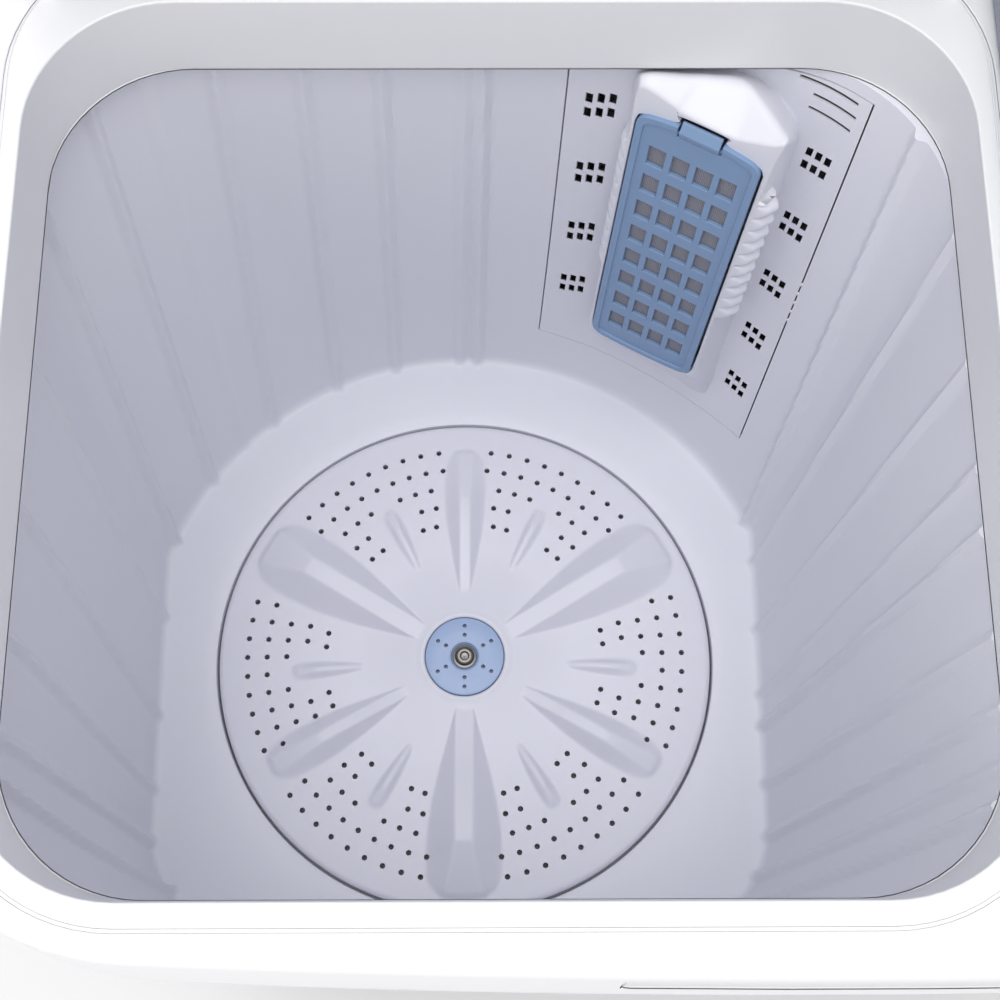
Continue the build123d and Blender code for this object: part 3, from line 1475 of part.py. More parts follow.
def filter_latch():
    """The sprung lever in the notch at the top of the frame, with a curved thumb piece and two pivot stubs."""
    half = latch_width / 2
    foot = filter_height - latch_length + 1.0
    top = filter_height + latch_rise
    lever = side_profile([(foot, -2.3), (foot, 0.4), (foot + 5.0, 2.2), (top - 3.0, 1.0), (top, -0.4),
                          (top, -2.0),
                          (foot + 4.0, -2.3)], -half, half)
    return filter_place() * (lever + latch_pins(latch_pin_radius, 0.0))


def console():
    """The console's shell: a leaning front, a rounded top, and openings for the controls."""
    lean = tan(radians(console_lean))
    front = console_front
    top = deck_height + console_height
    profile = [(front, deck_height), (front + lean * console_height, top), (cabinet_back, top),
               (cabinet_back, deck_height)]
    body = side_profile(profile, -console_half_width, console_half_width)
    body = fillet(body.edges().filter_by(Axis.X).sort_by(Axis.Z)[-2:], 9.0)
    body = fillet(body.faces().sort_by(Axis.X)[-1].edges().sort_by(Axis.Y)[:1], 8.0)
    body = fillet(body.faces().sort_by(Axis.X)[0].edges().sort_by(Axis.Y)[:1], 8.0)
    wall = console_wall
    low = deck_height + wall
    body -= side_profile([(front + wall + lean * wall, low), (front + wall + lean * (console_height - wall),
                                                              top - wall),
                          (cabinet_back - wall, top - wall), (cabinet_back - wall, low)],
                         -console_half_width + wall, console_half_width - wall)
    body -= face_form(0.0, face_seat, 6.0)
    for x in (wash_knob_x, mode_knob_x, spin_knob_x):
        body -= face_plane() * (Pos(x, knob_height, 0) * Cylinder(knob_hole_radius, 30.0))
    body -= block(selector_x - 5.0, selector_x + selector_travel + 5.0, selector_y - 3.0, selector_y + 3.0,
                  top - 10.0, top + 5.0)
    body -= Pos(inlet_x, cabinet_back, inlet_z) * Rot(-90, 0, 0) * Cylinder(inlet_radius + shoulder_step
                                                                            + 0.05, 20.0)
    body -= Pos(switch_x, console_front, deck_height + console_wall + 8.0) * Rot(-90, 0, 0) * Cylinder(2.1,
                                                                                                       30.0)
    return body - console_holes()


def face_plane():
    """The console's leaning front: across, up along the slope and out, from the deck's level."""
    lean = radians(console_lean)
    return Plane(origin=(0, console_front, deck_height), x_dir=(1, 0, 0), z_dir=(0, -cos(lean), sin(lean)))


def face_form(grow, depth, proud):
    """The console face's block, let into the shell by a depth."""
    outline = Pos(0, (face_low + face_high) / 2) * RectangleRounded(2 * (face_half_width + grow),
                                                                    face_high - face_low + 2 * grow, 12.0)
    return face_plane() * (Pos(0, 0, -depth) * extrude(outline, amount=depth + proud))


def console_face():
    """The printed-panel plate let into the console's front, with the knob holes and raised dial rings."""
    plate = face_form(-face_gap, face_seat, face_top)
    for x in (wash_knob_x, mode_knob_x, spin_knob_x):
        plate -= face_plane() * (Pos(x, knob_height, 0) * Cylinder(knob_hole_radius, 30.0))
    return plate


def knob(x, spindle_depth):
    """A dial knob: a flared skirt, a tapered grip with a finger bar, and its spindle."""
    low = face_top + knob_lift
    skirt = lathe([(0, low), (knob_radius, low), (knob_radius, low + 2.5), (knob_radius - 4.0, low + 5.0),
                   (knob_radius - 6.0, low + knob_depth), (0, low + knob_depth)])
    bar = Box(6.0, 2 * knob_radius - 7.0, knob_depth - 3.0, align=BASE)
    bar = chamfer(bar.faces().sort_by(Axis.Z)[-1].edges(), 1.5)
    bar = Pos(0, 0, low + 4.0) * bar
    spindle = Cylinder(knob_shaft_radius, low + spindle_depth + 0.5, align=BASE)
    body = skirt + bar + Pos(0, 0, -spindle_depth) * spindle
    return face_plane() * (Pos(x, knob_height, 0) * body)


def timer(x):
    """A clockwork timer behind the face: a square case with a round boss and two fixing ears."""
    back = -timer_front - timer_depth
    case = block(-22.0, 22.0, -20.0, 20.0, back, -timer_front)
    case = fillet(case.edges().filter_by(Axis.Z), 4.0)
    boss = disc(9.0, timer_front + console_inner, -timer_front)
    ears = block(-31.0, 31.0, -6.0, 6.0, -timer_front - 2.0, -timer_front)
    ears += block(-31.0, -27.0, -6.0, 6.0, -timer_front, console_inner) + block(27.0, 31.0, -6.0, 6.0,
                                                                                -timer_front, console_inner)
    body = case + boss + ears - disc(knob_shaft_radius + shaft_clearance, 40.0, back + 4.0)
    return face_plane() * (Pos(x, knob_height, 0) * body)


def wash_timer_knob():
    """The wash timer's knob."""
    return knob(wash_knob_x, knob_spindle)


def spin_timer_knob():
    """The spin timer's knob."""
    return knob(spin_knob_x, knob_spindle)


def mode_knob():
    """The knob that opens and shuts the drain; its spindle ends at the crank."""
    return knob(mode_knob_x, crank_back)


def timers():
    """The wash and spin timers."""
    return [timer(x) for x in (wash_knob_x, spin_knob_x)]


def mode_crank():
    """The crank on the mode knob's spindle, whose pin lifts the drain rod's yoke."""
    disc_body = disc(13.0, 3.0, -crank_back) - disc(knob_shaft_radius, 30.0, -crank_back - 10.0)
    pin = disc(2.0, crank_pin_length + 1.0, -crank_back - crank_pin_length, -crank_throw, 0)
    return face_plane() * (Pos(mode_knob_x, knob_height, 0) * (disc_body + pin))


def water_selector():
    """The sliding lever on the console's top that sends the water to one tub or the other."""
    top = deck_height + console_height
    tab = block(selector_x - 10.0, selector_x + 10.0, selector_y - 6.0, selector_y + 6.0, top + 0.4,
                top + 3.0)
    grip = block(selector_x - 3.0, selector_x + 3.0, selector_y - 5.0, selector_y + 5.0, top + 2.0, top + 9.0)
    grip = fillet(grip.faces().sort_by(Axis.Z)[-1].edges(), 1.5)
    vane_low = channel_low + 4.0
    stem = block(selector_x - 3.5, selector_x + 3.5, selector_y - 2.4, selector_y + 2.4, vane_low, top + 1.0)
    vane = block(selector_x - 3.5, selector_x + 3.5, channel_front + 4.0, selector_y, vane_low,
                 channel_low + channel_height - 3.0)
    return tab + grip + stem + vane


def inlet_channel():
    """The trough that the fill water runs along inside the console, with its inlet spigot and a fall to each tub."""
    low = channel_low
    high = low + channel_height
    back = cabinet_back - console_wall
    body = block(channel_left, channel_right, channel_front, back, low, high)
    body -= block(channel_left + 2.0, channel_right - 2.0, channel_front + 2.0, back - 2.0, low + 2.0,
                  high + 1.0)
    for x in (wash_fall_x, spin_fall_x):
        body += disc(fall_radius, low + 1.0 - fall_low, fall_low, x, fall_y)
        body -= disc(fall_radius - 2.0, low + 10.0 - fall_low, fall_low - 1.0, x, fall_y)
    stop = console_wall + shoulder_proud
    reach = console_wall + spigot_length
    shoulder = inlet_radius + shoulder_step
    spigot = lathe([(inlet_bore, 0), (shoulder, 0), (shoulder, stop), (inlet_radius, stop),
                    (inlet_radius, reach),
                    (inlet_bore, reach)])
    body -= Pos(inlet_x, back, inlet_z) * Rot(-90, 0, 0) * Cylinder(inlet_bore, 10.0)
    return body + Pos(inlet_x, back, inlet_z) * Rot(-90, 0, 0) * spigot


def lid_switch():
    """The safety switch in the console, with its feeler out towards the spin lid's hinge."""
    y = console_front + 9.0
    low = deck_height + console_wall
    case = block(switch_x - 14.0, switch_x + 14.0, y, y + 18.0, low, low + 16.0)
    feeler = Pos(switch_x, y + 1.0, low + 8.0) * Rot(90, 0, 0) * Cylinder(2.0, 20.0, align=BASE)
    return case + feeler


def cable_gland():
    """The rubber gland in the rear cover where the mains lead comes in; the lead itself isn't part of this."""
    back = -cover_thickness
    neck = gland_neck
    body = lathe([(4.0, back - 4.5), (neck + 1.5, back - 4.5), (neck + 1.5, back), (neck, back), (neck, 0),
                  (neck + 3.0, 0),
                  (neck + 0.5, 14.0), (4.0, 14.0)])
    return Pos(gland_x, cabinet_back + cover_thickness, gland_z) * Rot(-90, 0, 0) * body


# Every separate piece under its own name
PARTS = {
    "feet": feet,
    "base": base,
    "cabinet": cabinet,
    "rear_cover": rear_cover,
    "cable_gland": cable_gland,
    "deck": deck,
    "wash_tub": wash_tub,
    "spin_tub": spin_tub,
    "bellows_seal": bellows_seal,
    "filter_panel": filter_panel,
    "filter_frame": filter_frame,
    "filter_mesh": filter_mesh,
    "filter_latch": filter_latch,
    "pulsator": pulsator,
    "pulsator_cap": pulsator_cap,
    "pulsator_screw": pulsator_screw,
    "wash_shaft": wash_shaft,
    "tub_seal": tub_seal,
    "gearbox": gearbox,
    "input_shaft": input_shaft,
    "big_pulley": big_pulley,
    "motor_pulley": motor_pulley,
    "wash_motor_shaft": wash_motor_shaft,
    "drive_belt": drive_belt,
    "wash_motor": wash_motor,
    "wash_motor_bracket": wash_motor_bracket,
    "capacitors": capacitors,
    "capacitor_clips": capacitor_clips,
    "drain_duct": drain_duct,
    "drain_valve": drain_valve,
    "drain_plunger": drain_plunger,
    "drain_pull_rod": drain_pull_rod,
    "drain_hose": drain_hose,
    "spin_drain_pipe": spin_drain_pipe,
    "outlet_spigot": outlet_spigot,
    "fill_chutes": fill_chutes,
    "spin_basket": spin_basket,
    "spin_hub": spin_hub,
    "spin_hub_bolt": spin_hub_bolt,
    "spin_shaft": spin_shaft,
    "brake_drum": brake_drum,
    "brake_lever": brake_lever,
    "spin_motor": spin_motor,
    "motor_damper_sleeves": motor_damper_sleeves,
    "wash_lid": wash_lid,
    "spin_lid": spin_lid,
    "wash_lid_pins": wash_lid_pins,
    "spin_lid_pins": spin_lid_pins,
    "control_console": console,
    "control_face": console_face,
    "wash_timer_knob": wash_timer_knob,
    "spin_timer_knob": spin_timer_knob,
    "mode_knob": mode_knob,
    "mode_crank": mode_crank,
    "timers": timers,
    "water_selector": water_selector,
    "inlet_channel": inlet_channel,
    "lid_switch": lid_switch,
}

os.makedirs("parts", exist_ok=True)
for name, make in PARTS.items():
    made = make()
    shapes = made if isinstance(made, list) else [made]
    solids = [solid for shape in shapes for solid in shape.solids()]
    export_step(solids[0] if len(solids) == 1 else Compound(children=solids), "parts/" + name + ".step")
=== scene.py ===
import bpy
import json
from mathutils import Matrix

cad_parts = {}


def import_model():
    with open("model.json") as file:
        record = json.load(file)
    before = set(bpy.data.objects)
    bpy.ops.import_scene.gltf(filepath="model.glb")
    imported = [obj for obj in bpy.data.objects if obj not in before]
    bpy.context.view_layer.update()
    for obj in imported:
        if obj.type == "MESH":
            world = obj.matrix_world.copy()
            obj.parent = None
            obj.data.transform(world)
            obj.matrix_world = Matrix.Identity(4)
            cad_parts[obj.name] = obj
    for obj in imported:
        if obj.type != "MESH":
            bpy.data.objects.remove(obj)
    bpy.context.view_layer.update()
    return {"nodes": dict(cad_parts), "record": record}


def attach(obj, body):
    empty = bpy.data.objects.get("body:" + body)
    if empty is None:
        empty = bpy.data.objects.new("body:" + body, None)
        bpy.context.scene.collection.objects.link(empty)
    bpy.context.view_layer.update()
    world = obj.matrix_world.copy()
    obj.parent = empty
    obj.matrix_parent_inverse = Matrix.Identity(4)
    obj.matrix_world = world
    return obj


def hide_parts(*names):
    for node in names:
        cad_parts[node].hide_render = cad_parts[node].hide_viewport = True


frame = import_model()

import json
import bmesh
import bpy
import numpy as np
from math import acos, cos, degrees, pi, radians, sin
from mathutils import Matrix, Vector

# Twin tub washing machine. Sizes are in millimetres, as the CAD has them, and MM turns them to metres.
MM = 0.001

# Wash tub: two outlines of eight edges each, and the heights that the wall runs between
WASH_X, WASH_Y = -130.0, -40.0
TUB_LEFT, TUB_RIGHT, TUB_FRONT, TUB_BACK, TUB_CORNER = -212.0, 200.0, -189.0, 187.0, 72.0
FLOOR_LEFT, FLOOR_RIGHT, FLOOR_FRONT = -208.0, 161.0, -184.0
FLOOR_CORNER, FLOOR_ROUND = 60.0, 198.0
ROUND_SPLIT_RIGHT, ROUND_SPLIT_LEFT = 70.0, 115.0
DECK_Z = 750.0
UNDERSIDE_Z = 747.0
FLOOR_Z = 367.0
COLLAR_Z = 703.3
TUB_WALL = 3.0
TUB_FLANGE = 4.0
FLOOR_FILLET = 4.5
RECESS_Z = 353.0
GEARBOX_TOP_Z = 331.0
SEAL_RADIUS = 17.0

# Ribs of the wash tub: place on the floor's outline, place on the rim's outline, and how proud it stands.
# A place is the edge's number plus the share along that edge.
RIBS = [
    (0.09, 7.93, 2.6), (0.44, 7.99, 4.2), (2.35, 2.80, 4.0), (2.66, 2.93, 2.8), (2.93, 3.06, 2.6),
    (3.135, 3.18, 2.6), (3.33, 3.37, 3.6), (3.435, 3.49, 2.6), (3.66, 3.69, 2.6), (3.90, 3.95, 2.6),
    (4.06, 4.375, 3.6), (5.395, 5.50, 3.2), (5.47, 5.53, 2.4), (5.742, 5.668, 2.8), (6.00, 5.80, 2.8),
    (6.30, 5.94, 2.8), (6.45, 6.16, 1.0), (6.64, 6.395, 3.0), (6.93, 6.76, 4.0), (7.235, 7.16, 3.0),
    (7.60, 7.47, 2.8), (7.865, 7.73, 2.6),
]
RIB_HALF = 4.6
# Columns of the tub's grid along each of the eight edges, and rows down its wall
EDGE_COLUMNS = (60, 120, 64, 92, 72, 118, 72, 100)
WALL_ROWS = 84

# Pulsator
PULSATOR_X, PULSATOR_Y = -150.9, -62.4
PULSATOR_RADIUS = 151.0
PULSATOR_ROUND = 3.0
PULSATOR_GAP = 1.6
RIM_Z = 369.0
CAP_SEAT_Z = 373.5
CAP_RADIUS = 24.0
CAP_RING = 26.5
# Slope round the cap: its height, where it starts, how far it runs and how hollow it is
CONE_HEIGHT, CONE_START, CONE_RUN, CONE_HOLLOW = 4.5, 66.0, 35.0, 1.6
# A fin's start, crest and end along it, then the half widths of its leaf, its ridge and its ridge's foot, and
# its height
LONG_FIN = (32.0, 111.0, 144.0, 22.0, 5.6, 12.0, 16.0)
SHORT_FIN = (42.0, 100.0, 135.0, 12.5, 3.4, 5.0, 10.0)
SMALL_RIB = (62.0, 92.0, 106.0, 4.8, 1.6, 2.2, 4.5)
# How far each sector of holes stands off the middle between its two fins, away from the longer one, in
# degrees. The small ribs stand in the middle of the sectors.
SECTOR_SHIFT = (-3.8, 2.7, -2.5, 4.8, -1.3, 1.3)
DRAIN_ARCS, DRAIN_OUTER, DRAIN_STEP, DRAIN_PITCH, DRAIN_RADIUS = 5, 133.5, 12.0, 5.05, 1.7
CAP_HOLE_RINGS, CAP_HOLE_RADIUS = (18.8, 13.1), 1.3

# Filter, in its own frame: across, up and out of the wall, from the middle of its lower edge
FILTER_ORIGIN = (-48.1, 97.7, 471.2)
FILTER_AZIMUTH = -28.0
FILTER_LEAN = 5.0

# Plate round the filter, in the filter's frame
PANEL_TOP, PANEL_BOTTOM, PANEL_BOW = 229.0, -50.0, 11.0
PANEL_LEFT, PANEL_HEAD_RIGHT, PANEL_FOOT_RIGHT = -66.5, 62.0, 73.0
PANEL_GAP = 0.8
PANEL_FRONT, PANEL_BACK = 0.2, -0.9
# Clusters of square holes: the topmost one's place, its rows' pitch and half a hole's height
CLUSTER_RIGHT, RIGHT_ROW_PITCH, RIGHT_HOLE_TALL = (48.9, 178.3), 9.2, 2.9
CLUSTER_LEFT, LEFT_ROW_PITCH, LEFT_HOLE_TALL = (-52.2, 193.1), 11.6, 3.4
HOLE_COLUMN_PITCH, HOLE_HALF, HOLE_SLANT = 5.0, 1.6, 0.9
# Overflow slots: the ends of each, and the topmost one's height, their pitch, half width and fall
SLOT_ENDS = ((27.0, 56.0), (35.5, 57.5), (35.5, 57.5))
SLOT_TOP, SLOT_PITCH, SLOT_HALF, SLOT_FALL = 227.0, 8.7, 1.1, 0.09

# Deck, console and rear cover
OPENING_HALF, OPENING_DEEP, OPENING_CORNER = 192.5, 179.5, 58.0
# Groove beds: how far off the openings, half their width, how hollow, and how far their edges and their
# underside lie under the deck's top
GROOVE_OFF, GROOVE_OFF_FRONT, GROOVE_BACK = 8.2, 9.7, 172.0
GROOVE_HALF, GROOVE_HOLLOW, GROOVE_UNDER, BED_DEPTH = 1.9, 0.5, 0.02, 1.3
SPIN_X, SPIN_Y, SPIN_OPENING = 217.0, -45.0, 112.0
CONSOLE_FRONT, CONSOLE_LEAN, KNOB_HEIGHT = 183.0, 13.0, 49.0
WASH_KNOB_X, SPIN_KNOB_X = -235.0, 225.0
# Marks round a dial: where a stroke begins and ends, half its width, and how high over the console's face it
# begins and ends
STROKE_IN, STROKE_OUT, STROKE_OUT_SHORT, STROKE_HALF = 23.6, 25.6, 24.8, 0.28
STROKE_LOW, STROKE_HIGH = 0.98, 1.1
NUMBER_RADIUS, NUMBER_SIZE, NUMBER_HALF_DEPTH, NUMBER_MIDDLE = 28.8, 5.2, 0.06, 1.04
DIAL_TURN = 270.0
# Screws of the rear cover
COVER_BACK, COVER_LOW, COVER_HIGH = 231.5, 84.0, 618.0
COVER_SIDE, COVER_INNER = 308.0, 103.0

# Camera, matched to the photograph of 1000 by 1000 pixels
CAMERA_PLACE = (-0.13310, -0.23703, 1.29076)
CAMERA_YAW, CAMERA_PITCH, CAMERA_ROLL = 0.01533, 1.27994, 0.01242
CAMERA_FOCAL_PIXELS = 1516.709
PHOTO_PIXELS = 1000
SENSOR = 36.0


# Colour and nodes

def linear(code):
    """An sRGB hex colour as linear red, green, blue and alpha."""
    parts = [int(code[i:i + 2], 16) / 255 for i in (1, 3, 5)]
    return tuple(c / 12.92 if c <= 0.04045 else ((c + 0.055) / 1.055) ** 2.4 for c in parts) + (1.0,)


def node(tree, kind, inputs=(), **settings):
    """Adds a node, sets its properties, and gives each input a value or a link."""
    made = tree.nodes.new(kind)
    for name, value in settings.items():
        setattr(made, name, value)
    for name, value in dict(inputs).items():
        if isinstance(value, bpy.types.NodeSocket):
            tree.links.new(value, made.inputs[name])
        else:
            made.inputs[name].default_value = value
    return made


def start_material(name):
    """An empty node material with its output and Object coordinates."""
    material = bpy.data.materials.new(name)
    material.use_nodes = True
    tree = material.node_tree
    tree.nodes.clear()
    place = node(tree, "ShaderNodeTexCoord").outputs["Object"]
    return material, tree, place


def finish_material(material, tree, shader, colour):
    """Joins the shader to the output and gives the viewport its colour."""
    node(tree, "ShaderNodeOutputMaterial", {"Surface": shader.outputs[0]})
    material.diffuse_color = linear(colour)
    return material


def moulded(name, colour, shade, roughness, grain_mm=0.9, grain_depth=0.012, coat=0.0, soft=0.0):
    """Moulded plastic: an even colour, slow drifts where the melt flowed, and a fine spark eroded grain."""
    material, tree, place = start_material(name)
    drift = node(tree, "ShaderNodeTexNoise", {"Vector": place, "Scale": 1 / 0.09, "Detail": 3.0,
                                              "Roughness": 0.5})
    mix = node(tree, "ShaderNodeMix", {0: drift.outputs["Fac"], 6: linear(shade), 7: linear(colour)},
               data_type="RGBA")
    grain = node(tree, "ShaderNodeTexNoise", {"Vector": place, "Scale": 1 / (grain_mm * MM), "Detail": 2.0})
    rub = node(tree, "ShaderNodeMapRange", {"Value": drift.outputs["Fac"], "To Min": roughness - 0.03,
                                            "To Max": roughness + 0.04})
    bump = node(tree, "ShaderNodeBump", {"Height": grain.outputs["Fac"], "Strength": 0.35,
                                         "Distance": grain_depth * MM})
    shader = node(tree, "ShaderNodeBsdfPrincipled", {
        "Base Color": mix.outputs[2], "Roughness": rub.outputs["Result"], "Normal": bump.outputs["Normal"],
        "IOR": 1.49, "Coat Weight": coat, "Coat Roughness": 0.12, "Subsurface Weight": soft,
        "Subsurface Radius": (0.004, 0.004, 0.005), "Subsurface Scale": 0.3})
    return finish_material(material, tree, shader, colour)


def turned_metal(name, colour, shade, roughness, line_mm, stretch):
    """Turned or drawn metal: fine tool lines that catch the light, stretched along the way it was worked."""
    material, tree, place = start_material(name)
    along = node(tree, "ShaderNodeMapping", {"Vector": place, "Scale": stretch})
    lines = node(tree, "ShaderNodeTexNoise", {"Vector": along.outputs["Vector"], "Scale": 1 / (line_mm * MM),
                                              "Detail": 4.0})
    mix = node(tree, "ShaderNodeMix", {0: lines.outputs["Fac"], 6: linear(shade), 7: linear(colour)},
               data_type="RGBA")
    rub = node(tree, "ShaderNodeMapRange", {"Value": lines.outputs["Fac"], "To Min": roughness - 0.06,
                                            "To Max": roughness + 0.08})
    bump = node(tree, "ShaderNodeBump", {"Height": lines.outputs["Fac"], "Strength": 0.25,
                                         "Distance": 0.03 * MM})
    shader = node(tree, "ShaderNodeBsdfPrincipled", {
        "Base Color": mix.outputs[2], "Metallic": 1.0, "Roughness": rub.outputs["Result"],
        "Normal": bump.outputs["Normal"]})
    return finish_material(material, tree, shader, colour)


def rubber(name, colour, shade, roughness):
    """Moulded rubber: dull, nearly black, with a faint bloom."""
    material, tree, place = start_material(name)
    bloom = node(tree, "ShaderNodeTexNoise", {"Vector": place, "Scale": 1 / 0.03, "Detail": 5.0,
                                              "Roughness": 0.6})
    mix = node(tree, "ShaderNodeMix", {0: bloom.outputs["Fac"], 6: linear(shade), 7: linear(colour)},
               data_type="RGBA")
    grain = node(tree, "ShaderNodeTexNoise", {"Vector": place, "Scale": 1 / (0.7 * MM), "Detail": 2.0})
    bump = node(tree, "ShaderNodeBump", {"Height": grain.outputs["Fac"], "Strength": 0.4,
                                         "Distance": 0.03 * MM})
    shader = node(tree, "ShaderNodeBsdfPrincipled", {
        "Base Color": mix.outputs[2], "Roughness": roughness, "Normal": bump.outputs["Normal"],
        "Specular IOR Level": 0.35})
    return finish_material(material, tree, shader, colour)


def cast_alloy():
    """Die cast aluminium: pale and dull, with a coarse skin and darker flow marks."""
    material, tree, place = start_material("die_cast_alloy")
    flow = node(tree, "ShaderNodeTexNoise", {"Vector": place, "Scale": 1 / 0.02, "Detail": 4.0})
    mix = node(tree, "ShaderNodeMix", {0: flow.outputs["Fac"], 6: linear("#85878C"), 7: linear("#A9ABB0")},
               data_type="RGBA")
    skin = node(tree, "ShaderNodeTexNoise", {"Vector": place, "Scale": 1 / (1.2 * MM), "Detail": 3.0})
    bump = node(tree, "ShaderNodeBump", {"Height": skin.outputs["Fac"], "Strength": 0.5,
                                         "Distance": 0.08 * MM})
    shader = node(tree, "ShaderNodeBsdfPrincipled", {
        "Base Color": mix.outputs[2], "Metallic": 0.9, "Roughness": 0.5, "Normal": bump.outputs["Normal"]})
    return finish_material(material, tree, shader, "#A0A2A8")


def motor_paint():
    """Sprayed dark paint on the motor cans: even, half gloss, with a slight orange peel."""
    material, tree, place = start_material("sprayed_motor_paint")
    peel = node(tree, "ShaderNodeTexNoise", {"Vector": place, "Scale": 1 / (2.5 * MM), "Detail": 1.0})
    dust = node(tree, "ShaderNodeTexNoise", {"Vector": place, "Scale": 1 / 0.05, "Detail": 4.0})
    mix = node(tree, "ShaderNodeMix", {0: dust.outputs["Fac"], 6: linear("#3E4248"), 7: linear("#50555C")},
               data_type="RGBA")
    bump = node(tree, "ShaderNodeBump", {"Height": peel.outputs["Fac"], "Strength": 0.3,
                                         "Distance": 0.05 * MM})
    shader = node(tree, "ShaderNodeBsdfPrincipled", {
        "Base Color": mix.outputs[2], "Roughness": 0.42, "Normal": bump.outputs["Normal"]})
    return finish_material(material, tree, shader, "#484C52")


def woven_net():
    """Fine nylon lint net: a grey beige weave. The real threads are 0.3 mm apart, drawn here at 0.9 mm to
    show. At a scale of 1 a band of the wave texture is 0.314 wide."""
    material, tree, place = start_material("woven_nylon_net")
    level = (0.0, 0.0, radians(-FILTER_AZIMUTH))
    turned_place = node(tree, "ShaderNodeMapping", {"Vector": place, "Rotation": level}).outputs["Vector"]
    threads = {"Vector": turned_place, "Scale": 0.314 / (0.9 * MM)}
    warp = node(tree, "ShaderNodeTexWave", threads, wave_type="BANDS", bands_direction="X")
    weft = node(tree, "ShaderNodeTexWave", threads, wave_type="BANDS", bands_direction="Z")
    cross = node(tree, "ShaderNodeMath", {0: warp.outputs["Fac"], 1: weft.outputs["Fac"]},
                 operation="MULTIPLY")
    mix = node(tree, "ShaderNodeMix", {0: cross.outputs[0], 6: linear("#7E7E88"), 7: linear("#A9A8B0")},
               data_type="RGBA")
    bump = node(tree, "ShaderNodeBump", {"Height": cross.outputs[0], "Strength": 0.6, "Distance": 0.15 * MM})
    shader = node(tree, "ShaderNodeBsdfPrincipled", {
        "Base Color": mix.outputs[2], "Roughness": 0.75, "Normal": bump.outputs["Normal"],
        "Sheen Weight": 0.2})
    return finish_material(material, tree, shader, "#909098")


def smoky_lid():
    """Clear styrene lid with a smoky blue tint: glossy, and dim shapes show through it."""
    material, tree, place = start_material("smoky_clear_styrene")
    drift = node(tree, "ShaderNodeTexNoise", {"Vector": place, "Scale": 1 / 0.12, "Detail": 2.0})
    mix = node(tree, "ShaderNodeMix", {0: drift.outputs["Fac"], 6: linear("#AEB9CC"), 7: linear("#C4CDDC")},
               data_type="RGBA")
    bump = node(tree, "ShaderNodeBump", {"Height": drift.outputs["Fac"], "Strength": 0.1,
                                         "Distance": 0.2 * MM})
    shader = node(tree, "ShaderNodeBsdfPrincipled", {
        "Base Color": mix.outputs[2], "Roughness": 0.16, "IOR": 1.55, "Transmission Weight": 0.8,
        "Normal": bump.outputs["Normal"], "Coat Weight": 0.2, "Coat Roughness": 0.05})
    return finish_material(material, tree, shader, "#C4CDDC")


MATERIALS = {
    # Satin white ABS of the casing: soft highlights and a fine even grain
    "body_white": moulded("satin_white_abs", "#EDEDF0", "#E8E8EC", 0.36),
    # Glossier white ABS of the deck and console: clean edges and a clear bright line on every bend
    "deck_white": moulded("polished_white_abs", "#F1F1F3", "#EDEDF0", 0.30, grain_depth=0.004, coat=0.15),
    # Lilac grey polypropylene of the tubs: slightly waxy, broad dull highlights
    "tub_lilac": moulded("lilac_grey_polypropylene", "#E8E9F1", "#E5E6EF", 0.42, grain_depth=0.006,
                         soft=0.05),
    # Paler polypropylene of the pulsator: waxy, catches light on its rounded edges
    "pulsator_pale": moulded("pale_polypropylene", "#E3E3EC", "#DFDFE9", 0.38, grain_depth=0.006, soft=0.05),
    # Dusty blue polypropylene of the filter frame: dull, even
    "filter_blue": moulded("dusty_blue_polypropylene", "#86A2C6", "#809CC0", 0.42, grain_depth=0.01),
    # Pale blue ABS of the pulsator's cap: smooth
    "cap_blue": moulded("pale_blue_abs", "#A3B8DA", "#9DB2D4", 0.32, grain_depth=0.005),
    "lint_net": woven_net(),
    # Black moulded rubber of feet, seals, belt and dampers
    "dark_rubber": rubber("black_moulded_rubber", "#1C1D1F", "#242527", 0.7),
    # Grey hose plastic: smoother and shinier than the rubber
    "grey_hose": rubber("grey_hose_plastic", "#6C6E73", "#74767B", 0.45),
    # Turned bright steel of shafts, pins and screws: fine rings round the work
    "bright_steel": turned_metal("turned_bright_steel", "#C9CBCF", "#9FA1A6", 0.26, 0.5, (1.0, 1.0, 8.0)),
    # Zinc plated sheet and wire: duller, faintly blotched
    "zinc_steel": turned_metal("zinc_plated_steel", "#B4B7BB", "#9B9EA3", 0.38, 6.0, (1.0, 1.0, 1.0)),
    "cast_alloy": cast_alloy(),
    "motor_paint": motor_paint(),
    # Grey polypropylene of the base and the water ways inside. On the water way behind the filter plate this
    # darker grey is partly painted shade, to darken what shows through the plate's holes
    "base_grey": moulded("grey_polypropylene_and_painted_duct_shade", "#8E9096", "#87898F", 0.5, grain_depth=0.03),
    # Spun and pierced stainless steel of the basket: rings round its axis
    "basket_alloy": turned_metal("spun_stainless_steel", "#C8CACE", "#AEB0B5", 0.24, 0.6, (0.15, 0.15, 6.0)),
    # Grey face plate, printed plain, satin
    "face_grey": moulded("satin_grey_face_plate", "#B6BBC6", "#B2B7C2", 0.34, grain_depth=0.004),
    # Blue grey ABS of the knobs: moulded glossy
    "knob_blue": moulded("gloss_blue_grey_abs", "#56697F", "#51647A", 0.28, grain_depth=0.004, coat=0.2),
    "lid_clear": smoky_lid(),
}


# Meshes

def piece(name, points, faces, body, slot, replaced=(), sharp=32.0, finish=None):
    """A new piece from points in millimetres and its faces: smooth but for edges sharper than an angle."""
    mesh = bpy.data.meshes.new(name)
    mesh.from_pydata((np.asarray(points) * MM).tolist(), [], np.asarray(faces).tolist())
    return adopt(name, mesh, body, slot, replaced, sharp, finish)


